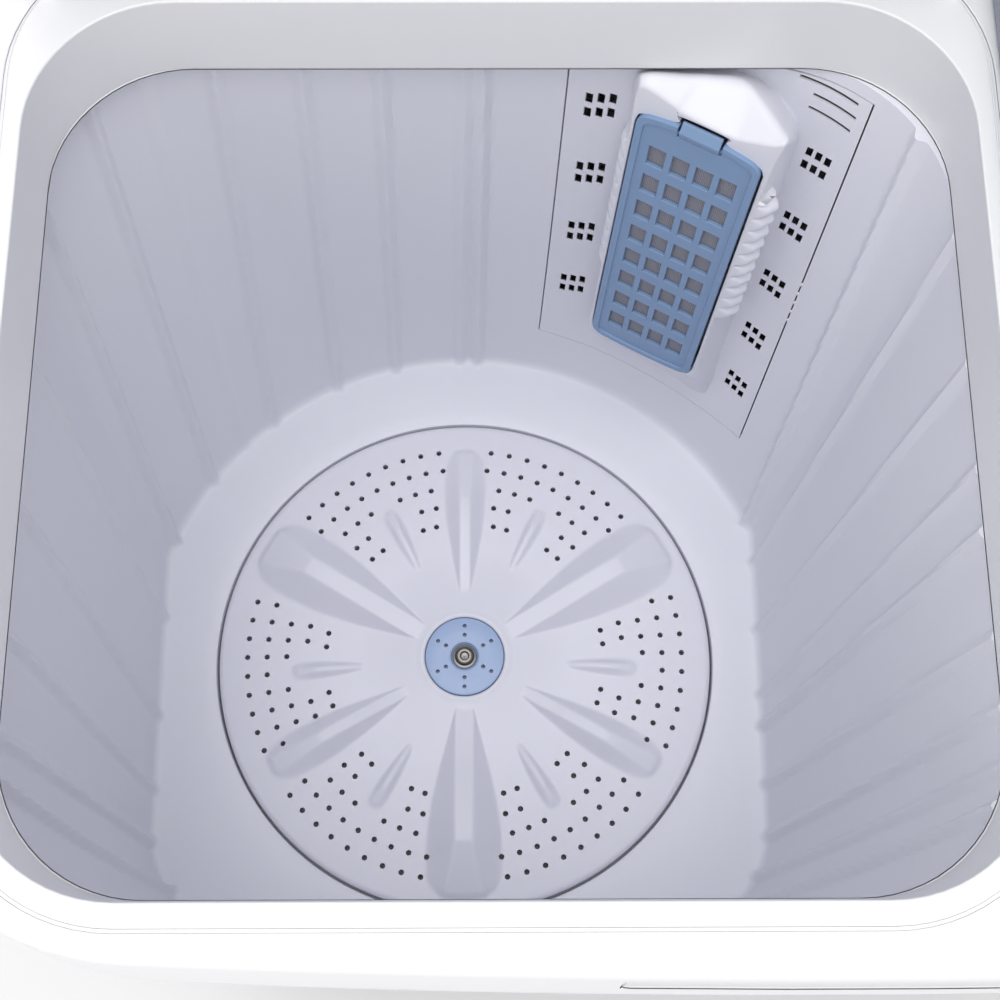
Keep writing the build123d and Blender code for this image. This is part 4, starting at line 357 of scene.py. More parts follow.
def adopt(name, mesh, body, slot, replaced=(), sharp=32.0, finish=None):
    """Gives a mesh its object, smoothing, material and body; the material is the slot's, unless a finish is
    given.
    """
    mesh.shade_smooth()
    mesh.set_sharp_from_angle(angle=radians(sharp))
    mesh.materials.clear()
    mesh.materials.append(finish or MATERIALS[slot])
    made = bpy.data.objects.new(name, mesh)
    bpy.context.scene.collection.objects.link(made)
    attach(made, body)
    if replaced:
        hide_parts(*replaced)
    return made


def smooth_below(made, angle):
    """Smooths a cut piece again, but for edges sharper than an angle."""
    made.data.shade_smooth()
    made.data.set_sharp_from_angle(angle=radians(angle))


def grid_faces(rows, columns, close_rows=False, close_columns=True):
    """Quads of a grid that is numbered row by row, closed either way on request."""
    row = np.arange(rows if close_rows else rows - 1)[:, None]
    column = np.arange(columns if close_columns else columns - 1)[None, :]
    here = row * columns + column
    right = row * columns + (column + 1) % columns
    below = ((row + 1) % rows) * columns + column
    across = ((row + 1) % rows) * columns + (column + 1) % columns
    return np.stack([here, right, across, below], -1).reshape(-1, 4)


def turned(profile, count=96):
    """A closed half outline of radius and height carried round the upright axis: x = r cos a, y = r sin a."""
    radius, height = np.asarray(profile, float).T
    angle = np.linspace(0, 2 * pi, count, endpoint=False)
    x = radius[:, None] * np.cos(angle)
    y = radius[:, None] * np.sin(angle)
    z = np.repeat(height[:, None], count, axis=1)
    points = np.stack([x, y, z], -1).reshape(-1, 3)
    return points, grid_faces(len(profile), count, close_rows=True)


def rounded_corners(profile, radius, steps=4):
    """A closed outline with each corner cut to a short curve: the quadratic curve between the corner's two
    cuts."""
    profile = np.asarray(profile, float)
    before = np.roll(profile, 1, axis=0) - profile
    after = np.roll(profile, -1, axis=0) - profile
    reach_before = np.minimum(radius, 0.4 * np.linalg.norm(before, axis=1))[:, None]
    reach_after = np.minimum(radius, 0.4 * np.linalg.norm(after, axis=1))[:, None]
    first = profile + before / np.linalg.norm(before, axis=1)[:, None] * reach_before
    last = profile + after / np.linalg.norm(after, axis=1)[:, None] * reach_after
    t = np.linspace(0, 1, steps)[None, :, None]
    curve = (1 - t) ** 2 * first[:, None] + 2 * t * (1 - t) * profile[:, None] + t ** 2 * last[:, None]
    return curve.reshape(-1, 2)


def drilled(target, places, radius, low, high, sides=12):
    """Cuts round holes through a closed piece at places of x and y, between two heights."""
    angle = np.linspace(0, 2 * pi, sides, endpoint=False)
    ring = np.stack([radius * np.cos(angle), radius * np.sin(angle)], -1)
    places = np.asarray(places, float)
    around = (places[:, None, :] + ring[None]).reshape(-1, 2)
    bottom = np.column_stack([around, np.full(len(around), low)])
    top = np.column_stack([around, np.full(len(around), high)])
    lift = len(around)
    faces = []
    for first in range(0, lift, sides):
        ring_ids = list(range(first, first + sides))
        faces.append(ring_ids[::-1])
        faces.append([k + lift for k in ring_ids])
        for here, there in zip(ring_ids, ring_ids[1:] + ring_ids[:1]):
            faces.append([here, there, there + lift, here + lift])
    cut_away(target, np.concatenate([bottom, top]), faces)


def cut_away(target, points, faces):
    """Cuts closed shapes, given in millimetres, out of a closed piece."""
    mesh = bpy.data.meshes.new("cutter")
    mesh.from_pydata((points * MM).tolist(), [], [list(face) for face in faces])
    work = bmesh.new()
    work.from_mesh(mesh)
    bmesh.ops.recalc_face_normals(work, faces=work.faces)
    work.to_mesh(mesh)
    work.free()
    cutter = bpy.data.objects.new("cutter", mesh)
    bpy.context.scene.collection.objects.link(cutter)
    cut = target.modifiers.new("cut", "BOOLEAN")
    cut.operation = "DIFFERENCE"
    cut.solver = "MANIFOLD"
    cut.object = cutter
    bake(target)
    bpy.data.objects.remove(cutter)


def bake(target):
    """Applies a piece's modifiers to its mesh."""
    depsgraph = bpy.context.evaluated_depsgraph_get()
    mesh = bpy.data.meshes.new_from_object(target.evaluated_get(depsgraph))
    old = target.data
    target.modifiers.clear()
    target.data = mesh
    bpy.data.meshes.remove(old)


def merged_copy(cad_node):
    """A copy of a CAD node's mesh with its loose triangles joined and its flat areas made whole."""
    mesh = frame["nodes"][cad_node].data.copy()
    for name in ("custom_normal", "sharp_face", "sharp_edge"):
        if name in mesh.attributes:
            mesh.attributes.remove(mesh.attributes[name])
    work = bmesh.new()
    work.from_mesh(mesh)
    bmesh.ops.remove_doubles(work, verts=work.verts, dist=0.01 * MM)
    bmesh.ops.dissolve_limit(work, angle_limit=radians(0.4), verts=work.verts, edges=work.edges)
    work.to_mesh(mesh)
    work.free()
    return mesh


def refined(cad_node, slot, radius, segments=2):
    """A CAD node with softened edges, as moulds and dies leave them."""
    made = adopt(cad_node + "_finished", merged_copy(cad_node), BODY_OF[cad_node], slot, (cad_node,))
    if radius:
        soften(made, radius, segments)
    return made


def soften(made, radius, segments):
    """Small rounded edges on every edge sharper than 35 degrees."""
    bevel = made.modifiers.new("soft_edges", "BEVEL")
    bevel.width = radius * MM
    bevel.segments = segments
    bevel.limit_method = "ANGLE"
    bevel.angle_limit = radians(35.0)
    bevel.use_clamp_overlap = False
    bevel.harden_normals = True


BODY_OF = {name: body for body, names in frame["record"]["behaviour"]["bodies"].items() for name in names}
SLOT_OF = {part["node"]: part["material_slot"] for part in frame["record"]["subparts"]}


# Wash tub

def along_arc(centre, radius, first, last, share):
    """Points on an arc, by their share of its angle."""
    angle = np.radians(first + (last - first) * share)
    return np.stack([centre[0] + radius * np.cos(angle), centre[1] + radius * np.sin(angle)], -1)


def along_line(start, end, share):
    """Points on a straight line, by their share of its length."""
    return np.asarray(start) * (1 - share[:, None]) + np.asarray(end) * share[:, None]


def rim_edges(grow=0.0):
    """The rim's eight edges: a rounded rectangle from its front left corner on, grown outwards."""
    left, right = WASH_X + TUB_LEFT, WASH_X + TUB_RIGHT
    front, back = WASH_Y + TUB_FRONT, WASH_Y + TUB_BACK
    c = TUB_CORNER
    r = c + grow
    return [
        lambda t: along_arc((left + c, front + c), r, 180, 270, t),
        lambda t: along_line((left + c, front - grow), (right - c, front - grow), t),
        lambda t: along_arc((right - c, front + c), r, 270, 360, t),
        lambda t: along_line((right + grow, front + c), (right + grow, back - c), t),
        lambda t: along_arc((right - c, back - c), r, 0, 90, t),
        lambda t: along_line((right - c, back + grow), (left + c, back + grow), t),
        lambda t: along_arc((left + c, back - c), r, 90, 180, t),
        lambda t: along_line((left - grow, back - c), (left - grow, front + c), t),
    ]


def foot_edges():
    """The foot's eight edges: straight front and sides, and a back that is round about the pulsator."""
    left, right = WASH_X + FLOOR_LEFT, WASH_X + FLOOR_RIGHT
    front = WASH_Y + FLOOR_FRONT
    c = FLOOR_CORNER
    centre = (PULSATOR_X, PULSATOR_Y)
    first = degrees(acos((right - PULSATOR_X) / FLOOR_ROUND))
    last = degrees(acos((left - PULSATOR_X) / FLOOR_ROUND))

    def spot(angle):
        turn = radians(angle)
        return (PULSATOR_X + FLOOR_ROUND * cos(turn), PULSATOR_Y + FLOOR_ROUND * sin(turn))

    return [
        lambda t: along_arc((left + c, front + c), c, 180, 270, t),
        lambda t: along_line((left + c, front), (right - c, front), t),
        lambda t: along_arc((right - c, front + c), c, 270, 360, t),
        lambda t: along_line((right, front + c), spot(first), t),
        lambda t: along_arc(centre, FLOOR_ROUND, first, ROUND_SPLIT_RIGHT, t),
        lambda t: along_arc(centre, FLOOR_ROUND, ROUND_SPLIT_RIGHT, ROUND_SPLIT_LEFT, t),
        lambda t: along_arc(centre, FLOOR_ROUND, ROUND_SPLIT_LEFT, last, t),
        lambda t: along_line(spot(last), (left, front + c), t),
    ]


def walk(edges, place):
    """Points on an outline of eight edges at places, an array of edge number plus share."""
    edge = np.floor(place).astype(int) % 8
    share = place % 1.0
    points = np.zeros((len(place), 2))
    for number, run in enumerate(edges):
        chosen = edge == number
        points[chosen] = run(share[chosen])
    return points


def inward(points):
    """The unit normals to the left of a closed outline's way: the tangent turned by a quarter."""
    tangent = np.roll(points, -1, axis=0) - np.roll(points, 1, axis=0)
    tangent /= np.linalg.norm(tangent, axis=1)[:, None]
    return np.stack([-tangent[:, 1], tangent[:, 0]], -1)


def travelled(points):
    """How far each point of a closed outline lies along it, and the whole length."""
    steps = np.linalg.norm(np.roll(points, -1, axis=0) - points, axis=1)
    return np.concatenate([[0.0], np.cumsum(steps)[:-1]]), steps.sum()


def rib_lift(places, foot_along, rim_along, foot_length, rim_length, up):
    """How proud the wall stands at a height: for each rib a raised cosine of the distance from its middle
    line. A rib may run across the place where the outlines begin."""
    along = foot_along * (1 - up) + rim_along * up
    whole = foot_length * (1 - up) + rim_length * up
    lift = np.zeros(len(places))
    for foot_place, rim_place, proud in RIBS:
        foot_middle = np.interp(foot_place, places, foot_along)
        rim_middle = np.interp(rim_place, places, rim_along)
        if foot_place < 1.0 and rim_place > 7.0:
            rim_middle -= rim_length
        middle = foot_middle * (1 - up) + rim_middle * up
        away = (along - middle + whole / 2) % whole - whole / 2
        bump = 0.5 + 0.5 * np.cos(np.clip(away / RIB_HALF, -1, 1) * pi)
        lift = np.maximum(lift, proud * bump ** 0.75)
    return lift


def wash_tub():
    """The tub's whole skin as one closed grid. Columns are places on the outlines. Rows go down the inside,
    over the floor, through the hub, back under the floor and up the outside. The wall at a height is the
    straight line from the foot to the rim, moved inwards by its ribs; the floor meets it in a quadratic
    curve. The opening for the filter's plate is cut out at the end."""
    places = np.concatenate([k + np.arange(n) / n for k, n in enumerate(EDGE_COLUMNS)])
    foot = walk(foot_edges(), places)
    rim = walk(rim_edges(), places)
    foot_along, foot_length = travelled(foot)
    rim_along, rim_length = travelled(rim)
    rise = UNDERSIDE_Z - FLOOR_Z

    def lift_at(up):
        return rib_lift(places, foot_along, rim_along, foot_length, rim_length, up)

    def wall(up, out=0.0):
        section = foot * (1 - up) + rim * up
        return section + inward(section) * (lift_at(up) - out)[:, None]

    def plain(up, out):
        section = foot * (1 - up) + rim * up
        return section - inward(section) * out

    rows = []

    def row(flat, z):
        rows.append(np.column_stack([flat, np.full(len(places), z)]))

    grown = walk(rim_edges(TUB_FLANGE), places)
    outer = walk(rim_edges(TUB_WALL), places)
    row(grown, UNDERSIDE_Z - TUB_WALL)
    row(grown, UNDERSIDE_Z)
    row(rim, UNDERSIDE_Z)
    row(rim, COLLAR_Z + 8.0)
    row(rim, COLLAR_Z)
    collar_up = (COLLAR_Z - FLOOR_Z) / rise
    fillet_up = FLOOR_FILLET * 1.6 / rise
    for up in collar_up - (collar_up - fillet_up) * np.linspace(0, 1, WALL_ROWS) ** 0.95:
        row(wall(up), FLOOR_Z + rise * up)
    edge = wall(0.0)
    across = inward(foot)
    begin = wall(fillet_up)
    end = edge + across * FLOOR_FILLET
    for t in np.linspace(0, 1, 8)[1:]:
        flat = (1 - t) ** 2 * begin + 2 * t * (1 - t) * edge + t ** 2 * end
        row(flat, FLOOR_Z + (1 - t) ** 2 * rise * fillet_up)
    centre = np.array([PULSATOR_X, PULSATOR_Y])
    heading = foot - centre
    heading /= np.linalg.norm(heading, axis=1)[:, None]

    def circle(radius):
        return centre + heading * radius

    well = PULSATOR_RADIUS + PULSATOR_GAP
    lip = circle(well + 1.0)
    for t in (0.25, 0.5, 0.75, 1.0):
        row(end * (1 - t) + lip * t, FLOOR_Z)
    below = RECESS_Z - TUB_WALL
    hub = SEAL_RADIUS + TUB_WALL
    for radius, z in ((well + 0.3, FLOOR_Z - 0.3), (well, FLOOR_Z - 1.0), (well, RECESS_Z), (90.0, RECESS_Z),
                      (SEAL_RADIUS, RECESS_Z), (SEAL_RADIUS, GEARBOX_TOP_Z), (hub, GEARBOX_TOP_Z),
                      (hub, below), (well + TUB_WALL, below), (well + TUB_WALL, FLOOR_Z - TUB_WALL)):
        row(circle(radius), z)
    row(plain(0.0, TUB_WALL), FLOOR_Z - TUB_WALL)
    for up in np.linspace(0.0, collar_up, 7):
        row(plain(up, TUB_WALL), FLOOR_Z + rise * up - TUB_WALL * (up > 0.8))
    row(outer, COLLAR_Z - TUB_WALL)
    row(outer, UNDERSIDE_Z - TUB_WALL)
    points = np.concatenate(rows)
    faces = grid_faces(len(rows), len(places), close_rows=True)
    made = piece("wash_tub_moulding", points, faces, "machine", "tub_lilac", ("wash_tub",))
    cut_away(made, *panel_sheet(PANEL_GAP, 14.0, -14.0, 60, 40))
    smooth_below(made, 32.0)


# Pulsator

def fin_height(along, across, start, crest, end, half, ridge_half, foot_half, top):
    """A fin's height: a flat ridge that rises to its crest and falls to its end, between straight sides that
    reach the leaf's outline, which is a sine up to its widest place and a blunt oval beyond it."""
    widest = crest + 0.28 * (end - crest)
    opening = np.clip((along - start) / (widest - start), 0, 1)
    leaf = ridge_half + (half - ridge_half) * np.sin(opening * pi / 2) ** 1.1
    closing = np.clip((along - widest) / (end - widest), 0, 1)
    leaf = np.where(along > widest, half * np.sqrt(1 - closing ** 3.4), leaf)
    spread = np.clip((along - crest) / (end - crest), 0, 1)
    ridge = ridge_half * (1 - spread) + foot_half * spread
    ridge = np.minimum(ridge, np.maximum(leaf - 1.0, 0.01))
    climb = np.clip((along - start) / (crest - start), 0, 1)
    fall = np.clip((along - crest) / (end - crest), 0, 1)
    height = top * np.sin(climb * pi / 2) ** 0.9 * (1 - 0.86 * fall ** 1.1)
    side = np.clip((leaf - np.abs(across)) / np.maximum(leaf - ridge, 0.5), 0, 1)
    side = side * np.clip((end - along) / 3.0, 0, 1)
    inside = (along > start) & (along < end)
    return np.where(inside, height * side, 0.0)


def pulsator_top(radius, angle):
    """The pulsator's height above its rim: a slope up to the cap's ring, and the highest of all fins."""
    base = CONE_HEIGHT * np.clip((CONE_START - radius) / CONE_RUN, 0, 1) ** CONE_HOLLOW
    fins = np.zeros(np.broadcast(radius, angle).shape)
    for k, shift in enumerate(SECTOR_SHIFT):
        fin = SHORT_FIN if k % 2 else LONG_FIN
        for middle, sizes in ((60.0 * k + 30.0, fin), (60.0 * k + shift, SMALL_RIB)):
            turn = angle - radians(middle)
            fins = np.maximum(fins, fin_height(radius * np.cos(turn), radius * np.sin(turn), *sizes))
    return base, fins


def blurred(field, passes):
    """A field with its creases rounded: each pass mixes a point with its neighbours along both ways of the
    grid."""
    for _ in range(passes):
        field = 0.5 * field + 0.25 * (np.roll(field, 1, axis=1) + np.roll(field, -1, axis=1))
        above = np.concatenate([field[:1], field[:-1]])
        below = np.concatenate([field[1:], field[-1:]])
        field = 0.5 * field + 0.25 * (above + below)
    return field


def drain_places():
    """Where the drain holes are: five arcs in each of six sectors, left open at the fins and ribs."""
    places = []
    last = DRAIN_ARCS - 1
    for arc in range(DRAIN_ARCS):
        radius = DRAIN_OUTER - DRAIN_STEP * arc
        inner = min(2, max(0, arc - 1))
        outer = 4 if arc < 2 else 3
        pitch = DRAIN_PITCH * (DRAIN_OUTER / radius) ** 0.3
        for sector, shift in enumerate(SECTOR_SHIFT):
            for step in range(-outer, outer + 1):
                if abs(step) >= inner:
                    nearer = 0.35 * (arc == last) * (1 if step > 0 else -1)
                    angle = radians(60.0 * sector + shift + pitch * (step - nearer))
                    places.append((PULSATOR_X + radius * cos(angle), PULSATOR_Y + radius * sin(angle)))
    return places


def pulsator():
    """The pulsator: a polar grid whose height is the slope and its fins, closed by its rim, its underside and
    its hub. The drain holes are drilled through."""
    columns = 684
    flat = PULSATOR_RADIUS - PULSATOR_ROUND
    angle = np.linspace(0, 2 * pi, columns, endpoint=False)[None, :]
    radius = np.concatenate([np.linspace(CAP_RING + 4.5, 52.0, 14), np.linspace(53.2, flat, 96)])[:, None]
    base, fins = pulsator_top(radius, angle)
    top = base + blurred(fins, 1)
    bend = np.radians(np.linspace(15, 90, 5))
    rim = [(flat + PULSATOR_ROUND * sin(b), -PULSATOR_ROUND + PULSATOR_ROUND * cos(b)) for b in bend]
    under = [(PULSATOR_RADIUS, -8.0), (flat, -8.0), (flat, -6.0), (142.0, -3.0), (90.0, -3.0), (22.0, -3.0),
             (22.0, -6.0), (8.0, -6.0), (8.0, -0.5), (CAP_RADIUS + 0.5, -0.5), (CAP_RADIUS + 0.5, 4.6),
             (CAP_RADIUS + 1.0, 5.2), (CAP_RING - 0.8, 5.6), (CAP_RING + 0.3, 5.5), (CAP_RING + 1.6, 4.9)]
    rows_r = [np.repeat(radius, columns, axis=1)]
    rows_z = [top]
    for r, z in rim + under:
        rows_r.append(np.full((1, columns), r))
        rows_z.append(np.full((1, columns), z))
    r = np.concatenate(rows_r)
    z = np.concatenate(rows_z) + RIM_Z
    x = PULSATOR_X + r * np.cos(angle)
    y = PULSATOR_Y + r * np.sin(angle)
    points = np.stack([x, y, z], -1).reshape(-1, 3)
    faces = grid_faces(len(r), columns, close_rows=True)[:, ::-1]
    made = piece("pulsator_moulding", points, faces, "pulsator_set", "pulsator_pale", ("pulsator",))
    drilled(made, drain_places(), DRAIN_RADIUS, RIM_Z - 9.0, RIM_Z + 20.0)
    made.data.set_sharp_from_angle(angle=radians(38.0))


def pulsator_cap():
    """The cap: a shallow dome turned about the axis, with two rings of small holes."""
    low = CAP_SEAT_Z - 5.0
    top = CAP_SEAT_Z + 1.5
    profile = rounded_corners([(2.8, low), (CAP_RADIUS, low), (CAP_RADIUS, top - 0.6), (16.0, top),
                               (9.0, top), (8.2, top - 0.6), (8.2, CAP_SEAT_Z - 1.0),
                               (2.8, CAP_SEAT_Z - 1.0)], 0.9)
    points, faces = turned(profile)
    points = points + np.array([PULSATOR_X, PULSATOR_Y, 0.0])
    made = piece("pulsator_cap_moulding", points, faces, "pulsator_set", "cap_blue", ("pulsator_cap",))
    holes = []
    for radius in CAP_HOLE_RINGS:
        for k in range(6):
            angle = radians(30.0 + 60.0 * k)
            holes.append((PULSATOR_X + radius * cos(angle), PULSATOR_Y + radius * sin(angle)))
    drilled(made, holes, CAP_HOLE_RADIUS, low - 1.0, top + 2.0)
    made.data.set_sharp_from_angle(angle=radians(38.0))


def pulsator_screw():
    """The steel screw and washer, turned, with a socket in the head."""
    seat = CAP_SEAT_Z - 1.0
    profile = rounded_corners([(0.01, seat - 10.0), (2.8, seat - 10.0), (2.8, seat), (7.4, seat),
                               (7.4, seat + 1.2), (5.6, seat + 1.4), (5.2, seat + 3.4), (4.2, seat + 4.0),
                               (2.6, seat + 4.0), (2.4, seat + 1.8), (0.01, seat + 1.8)], 0.4)
    points, faces = turned(profile, 64)
    points = points + np.array([PULSATOR_X, PULSATOR_Y, 0.0])
    # Turned steel that water has dulled: browner and darker than the shafts
    dull = turned_metal("dull_turned_steel", "#8F8C88", "#6B6864", 0.36, 0.5, (1.0, 1.0, 8.0))
    piece("pulsator_screw_turned", points, faces, "pulsator_set", "bright_steel", ("pulsator_screw",),
          finish=dull)


# Filter panel and housing

def filter_axes():
    """The filter's directions in the machine: across, up and out of the wall."""
    azimuth, lean = radians(FILTER_AZIMUTH), radians(FILTER_LEAN)
    across = np.array([cos(azimuth), sin(azimuth), 0.0])
    back = np.array([-sin(azimuth), cos(azimuth), 0.0])
    up = back * sin(lean) + np.array([0.0, 0.0, cos(lean)])
    return across, up, np.cross(across, up)


def in_machine(local):
    """Points of the filter's frame, as across, up and out, in the machine's millimetres."""
    across, up, out = filter_axes()
    return (np.array(FILTER_ORIGIN) + local[..., :1] * across + local[..., 1:2] * up + local[..., 2:3] * out)


def wall_depth(x, y):
    """How far behind the filter's plane the tub's plain wall lies: each step moves a point by its distance to
    the wall's section at its height, which is the furthest of its distances to the section's chords."""
    parts = 40
    share = np.concatenate([k + np.arange(parts) / parts for k in range(8)])
    foot, rim = walk(foot_edges(), share), walk(rim_edges(), share)
    depth = np.full(x.shape, -20.0)
    for _ in range(12):
        place = in_machine(np.stack([x, y, depth], -1))
        up = ((place[:, 2] - FLOOR_Z) / (UNDERSIDE_Z - FLOOR_Z))[:, None, None]
        section = foot * (1 - up) + rim * up
        chord = np.roll(section, -1, axis=1) - section
        outwards = np.stack([chord[..., 1], -chord[..., 0]], -1)
        outwards /= np.linalg.norm(outwards, axis=2)[..., None]
        distance = ((place[:, None, :2] - section) * outwards).sum(-1).max(1)
        depth = depth + 0.9 * distance
    return depth


WALL_X = np.linspace(-72.0, 78.0, 26)
WALL_Y = np.linspace(-70.0, 240.0, 32)
WALL_W = wall_depth(*[grid.ravel() for grid in np.meshgrid(WALL_X, WALL_Y)]).reshape(len(WALL_Y), len(WALL_X))


def wall_at(x, y):
    """The wall's depth between the worked out places, by straight lines along both ways."""
    column = np.clip((x - WALL_X[0]) / (WALL_X[1] - WALL_X[0]), 0, len(WALL_X) - 1.001)
    row = np.clip((y - WALL_Y[0]) / (WALL_Y[1] - WALL_Y[0]), 0, len(WALL_Y) - 1.001)
    i, j = row.astype(int), column.astype(int)
    s, t = row - i, column - j
    low = WALL_W[i, j] * (1 - t) + WALL_W[i, j + 1] * t
    high = WALL_W[i + 1, j] * (1 - t) + WALL_W[i + 1, j + 1] * t
    return low * (1 - s) + high * s


def panel_edge(grow, y):
    """The plate's left and right edges at a height, grown outwards: straight slanting sides."""
    share = (y - PANEL_BOTTOM) / (PANEL_TOP - PANEL_BOTTOM)
    return PANEL_LEFT - grow, PANEL_FOOT_RIGHT * (1 - share) + PANEL_HEAD_RIGHT * share + grow


def panel_foot(grow, share):
    """The plate's bowed lower edge: a parabola that hangs below its ends."""
    return PANEL_BOTTOM - grow - PANEL_BOW * 4 * share * (1 - share)


def panel_sheet(grow, front, back, rows=120, columns=70):
    """A closed sheet over the plate's outline: a grid of height and share across, from a front depth to a
    back depth, both measured from the wall. The lowest rows follow the bowed edge."""
    share = np.linspace(0, 1, columns)[None, :]
    up = np.linspace(0, 1, rows)[:, None]
    top = PANEL_TOP + grow
    y = panel_foot(grow, share) * (1 - up) + top * up
    left, right = panel_edge(grow, y)
    x = left * (1 - share) + right * share
    wall = wall_at(x, y)
    ahead = in_machine(np.stack([x, y, wall + front], -1)).reshape(-1, 3)
    behind = in_machine(np.stack([x, y, wall + back], -1)).reshape(-1, 3)
    return np.concatenate([ahead, behind]), sheet_faces(rows, columns)


def sheet_faces(rows, columns):
    """Quads of two equal grids, one behind the other, joined round their edges."""
    front = grid_faces(rows, columns, close_columns=False)
    lift = rows * columns
    index = np.arange(lift).reshape(rows, columns)
    edge = np.concatenate([index[0, :-1], index[:-1, -1], index[-1, :0:-1], index[:0:-1, 0]])
    ahead = np.roll(edge, -1)
    sides = np.stack([edge, edge + lift, ahead + lift, ahead], -1)
    return np.concatenate([front, front[:, ::-1] + lift, sides])


def block_points(low, high, slant=0.0):
    """The eight corners of an upright block in the filter's frame, whose back leans down by a slant."""
    x, y, w = [np.array([a, b]) for a, b in zip(low, high)]
    corners = np.stack(np.meshgrid(x, y, w, indexing="ij"), -1).reshape(8, 3)
    corners[:, 1] += slant * (corners[:, 2] - (w[0] + w[1]) / 2)
    return corners


BLOCK_FACES = np.array([[0, 1, 3, 2], [4, 6, 7, 5], [0, 4, 5, 1], [2, 3, 7, 6], [0, 2, 6, 4], [1, 5, 7, 3]])


def panel_holes():
    """The cutters of the plate's small square holes, three by two to a cluster, and of its overflow slots."""
    corners = []
    clusters = [(CLUSTER_RIGHT[0] + 2.15 * i, CLUSTER_RIGHT[1] - 47.3 * i, RIGHT_ROW_PITCH, RIGHT_HOLE_TALL)
                for i in range(5)]
    clusters += [(CLUSTER_LEFT[0], CLUSTER_LEFT[1] - 59.5 * i, LEFT_ROW_PITCH, LEFT_HOLE_TALL)
                 for i in range(4)]
    half_depth = 9.0
    for centre_x, centre_y, row_pitch, tall in clusters:
        for column in (-1, 0, 1):
            for row in (-0.5, 0.5):
                x, y = centre_x + HOLE_COLUMN_PITCH * column, centre_y + row_pitch * row
                depth = float(wall_at(np.array([x]), np.array([y]))[0])
                corners.append(block_points((x - HOLE_HALF, y - tall, depth - half_depth),
                                            (x + HOLE_HALF, y + tall, depth + half_depth), HOLE_SLANT))
    for i, (left, right) in enumerate(SLOT_ENDS):
        y = SLOT_TOP - SLOT_PITCH * i
        slot = block_points((left, y - SLOT_HALF, -60.0), (right, y + SLOT_HALF, -20.0))
        slot[:, 1] -= SLOT_FALL * (slot[:, 0] - left)
        corners.append(slot)
    points = np.concatenate([in_machine(c) for c in corners])
    faces = np.concatenate([BLOCK_FACES + 8 * i for i in range(len(corners))])
    return points, faces


def filter_panel():
    """The plate: a sheet that lies flush with the tub's wall, with its holes and slots cut through."""
    points, faces = panel_sheet(0.0, PANEL_FRONT, PANEL_BACK)
    made = piece("filter_panel_plate", points, faces, "machine", "tub_lilac", ("filter_panel",))
    cut_away(made, *panel_holes())
    smooth_below(made, 40.0)


# Stations round the filter housing, from the lower left corner upwards on the left side, in the filter's
# frame: the mouth's edge, the front edge, the place where the side turns, and the foot on the wall
HOUSING = [
    ((-32.2, 30.0), (-34.0, 30.0, -1.0), (-35.0, 29.0, -7.0), (-37.3, 26.0)),
    ((-32.2, 120.0), (-34.0, 120.0, -1.0), (-35.4, 119.0, -7.0), (-38.3, 117.0)),
    ((-32.2, 190.0), (-34.0, 195.0, -1.0), (-35.8, 194.0, -7.0), (-39.2, 190.0)),
    ((-31.8, 206.0), (-34.2, 222.0, -1.0), (-36.6, 224.0, -6.0), (-40.0, 214.0)),
    ((-28.0, 211.2), (-31.0, 229.6, -1.0), (-33.0, 232.6, -7.0), (-36.0, 221.0)),
    ((-12.2, 215.8), (-17.1, 226.4, -1.0), (-15.0, 233.0, -15.0), (-22.0, 223.0)),
    ((-11.9, 220.3), (-10.0, 223.8, -1.0), (-6.0, 233.4, -19.0), (-12.0, 223.5)),
    ((11.9, 220.3), (12.0, 222.6, -1.0), (8.0, 234.0, -22.0), (2.0, 224.0)),
    ((12.2, 215.6), (19.2, 224.2, -1.0), (20.0, 233.2, -16.0), (14.0, 217.0)),
    ((28.0, 211.0), (31.5, 229.4, -1.2), (32.5, 232.2, -8.5), (28.0, 203.0)),
    ((31.9, 206.0), (36.2, 231.0, -2.2), (37.2, 230.6, -6.0), (35.6, 192.0)),
    ((32.2, 198.0), (35.4, 219.0, -1.4), (36.9, 214.0, -10.0), (37.6, 172.0)),
    ((32.2, 150.0), (34.0, 175.0, -1.0), (36.2, 172.0, -13.0), (38.2, 152.0)),
    ((32.2, 75.0), (34.0, 80.0, -1.0), (36.8, 78.0, -12.0), (40.4, 62.0)),
    ((32.2, 20.0), (34.0, 20.0, -1.0), (37.5, 17.0, -9.0), (42.0, 0.0)),
    ((31.0, 3.0), (33.6, 2.0, -1.0), (38.0, -8.0, -6.0), (43.4, -30.0)),
    ((25.5, -1.4), (28.0, -3.2, -1.0), (31.0, -15.0, -6.5), (38.0, -46.0)),
    ((0.0, -2.4), (0.0, -4.4, -1.0), (1.0, -16.0, -8.5), (3.0, -47.0)),
    ((-25.5, -1.4), (-28.0, -3.2, -1.0), (-29.5, -13.0, -7.0), (-31.0, -42.0)),
    ((-31.0, 3.0), (-33.6, 2.0, -1.0), (-34.5, -4.0, -7.0), (-36.0, -25.0)),
]
FRONT_DEPTH, MOUTH_DEPTH = -1.0, -12.0
# Louvres: from and to which height, their pitch, how proud they are on the right and on the left, how far the
# valleys between them sink, the depth that they run over, and where the sides begin
LOUVRE_FIRST, LOUVRE_LAST, LOUVRE_PITCH = 71.0, 184.0, 11.1
LOUVRE_RIGHT, LOUVRE_LEFT, LOUVRE_VALLEY = 10.5, 5.5, 2.5
LOUVRE_DEPTH, SIDE_BEGINS, SIDE_RUN = 13.0, 33.4, 0.6


def even_places(stations, count):
    """Places on a closed run of stations, as station number plus share, evenly spaced along its chords."""
    stations = np.asarray(stations, float)
    chords = np.linalg.norm(np.roll(stations, -1, axis=0) - stations, axis=1)
    travel = np.concatenate([[0.0], np.cumsum(chords)])
    return np.interp(np.linspace(0, travel[-1], count, endpoint=False), travel, np.arange(len(travel)))


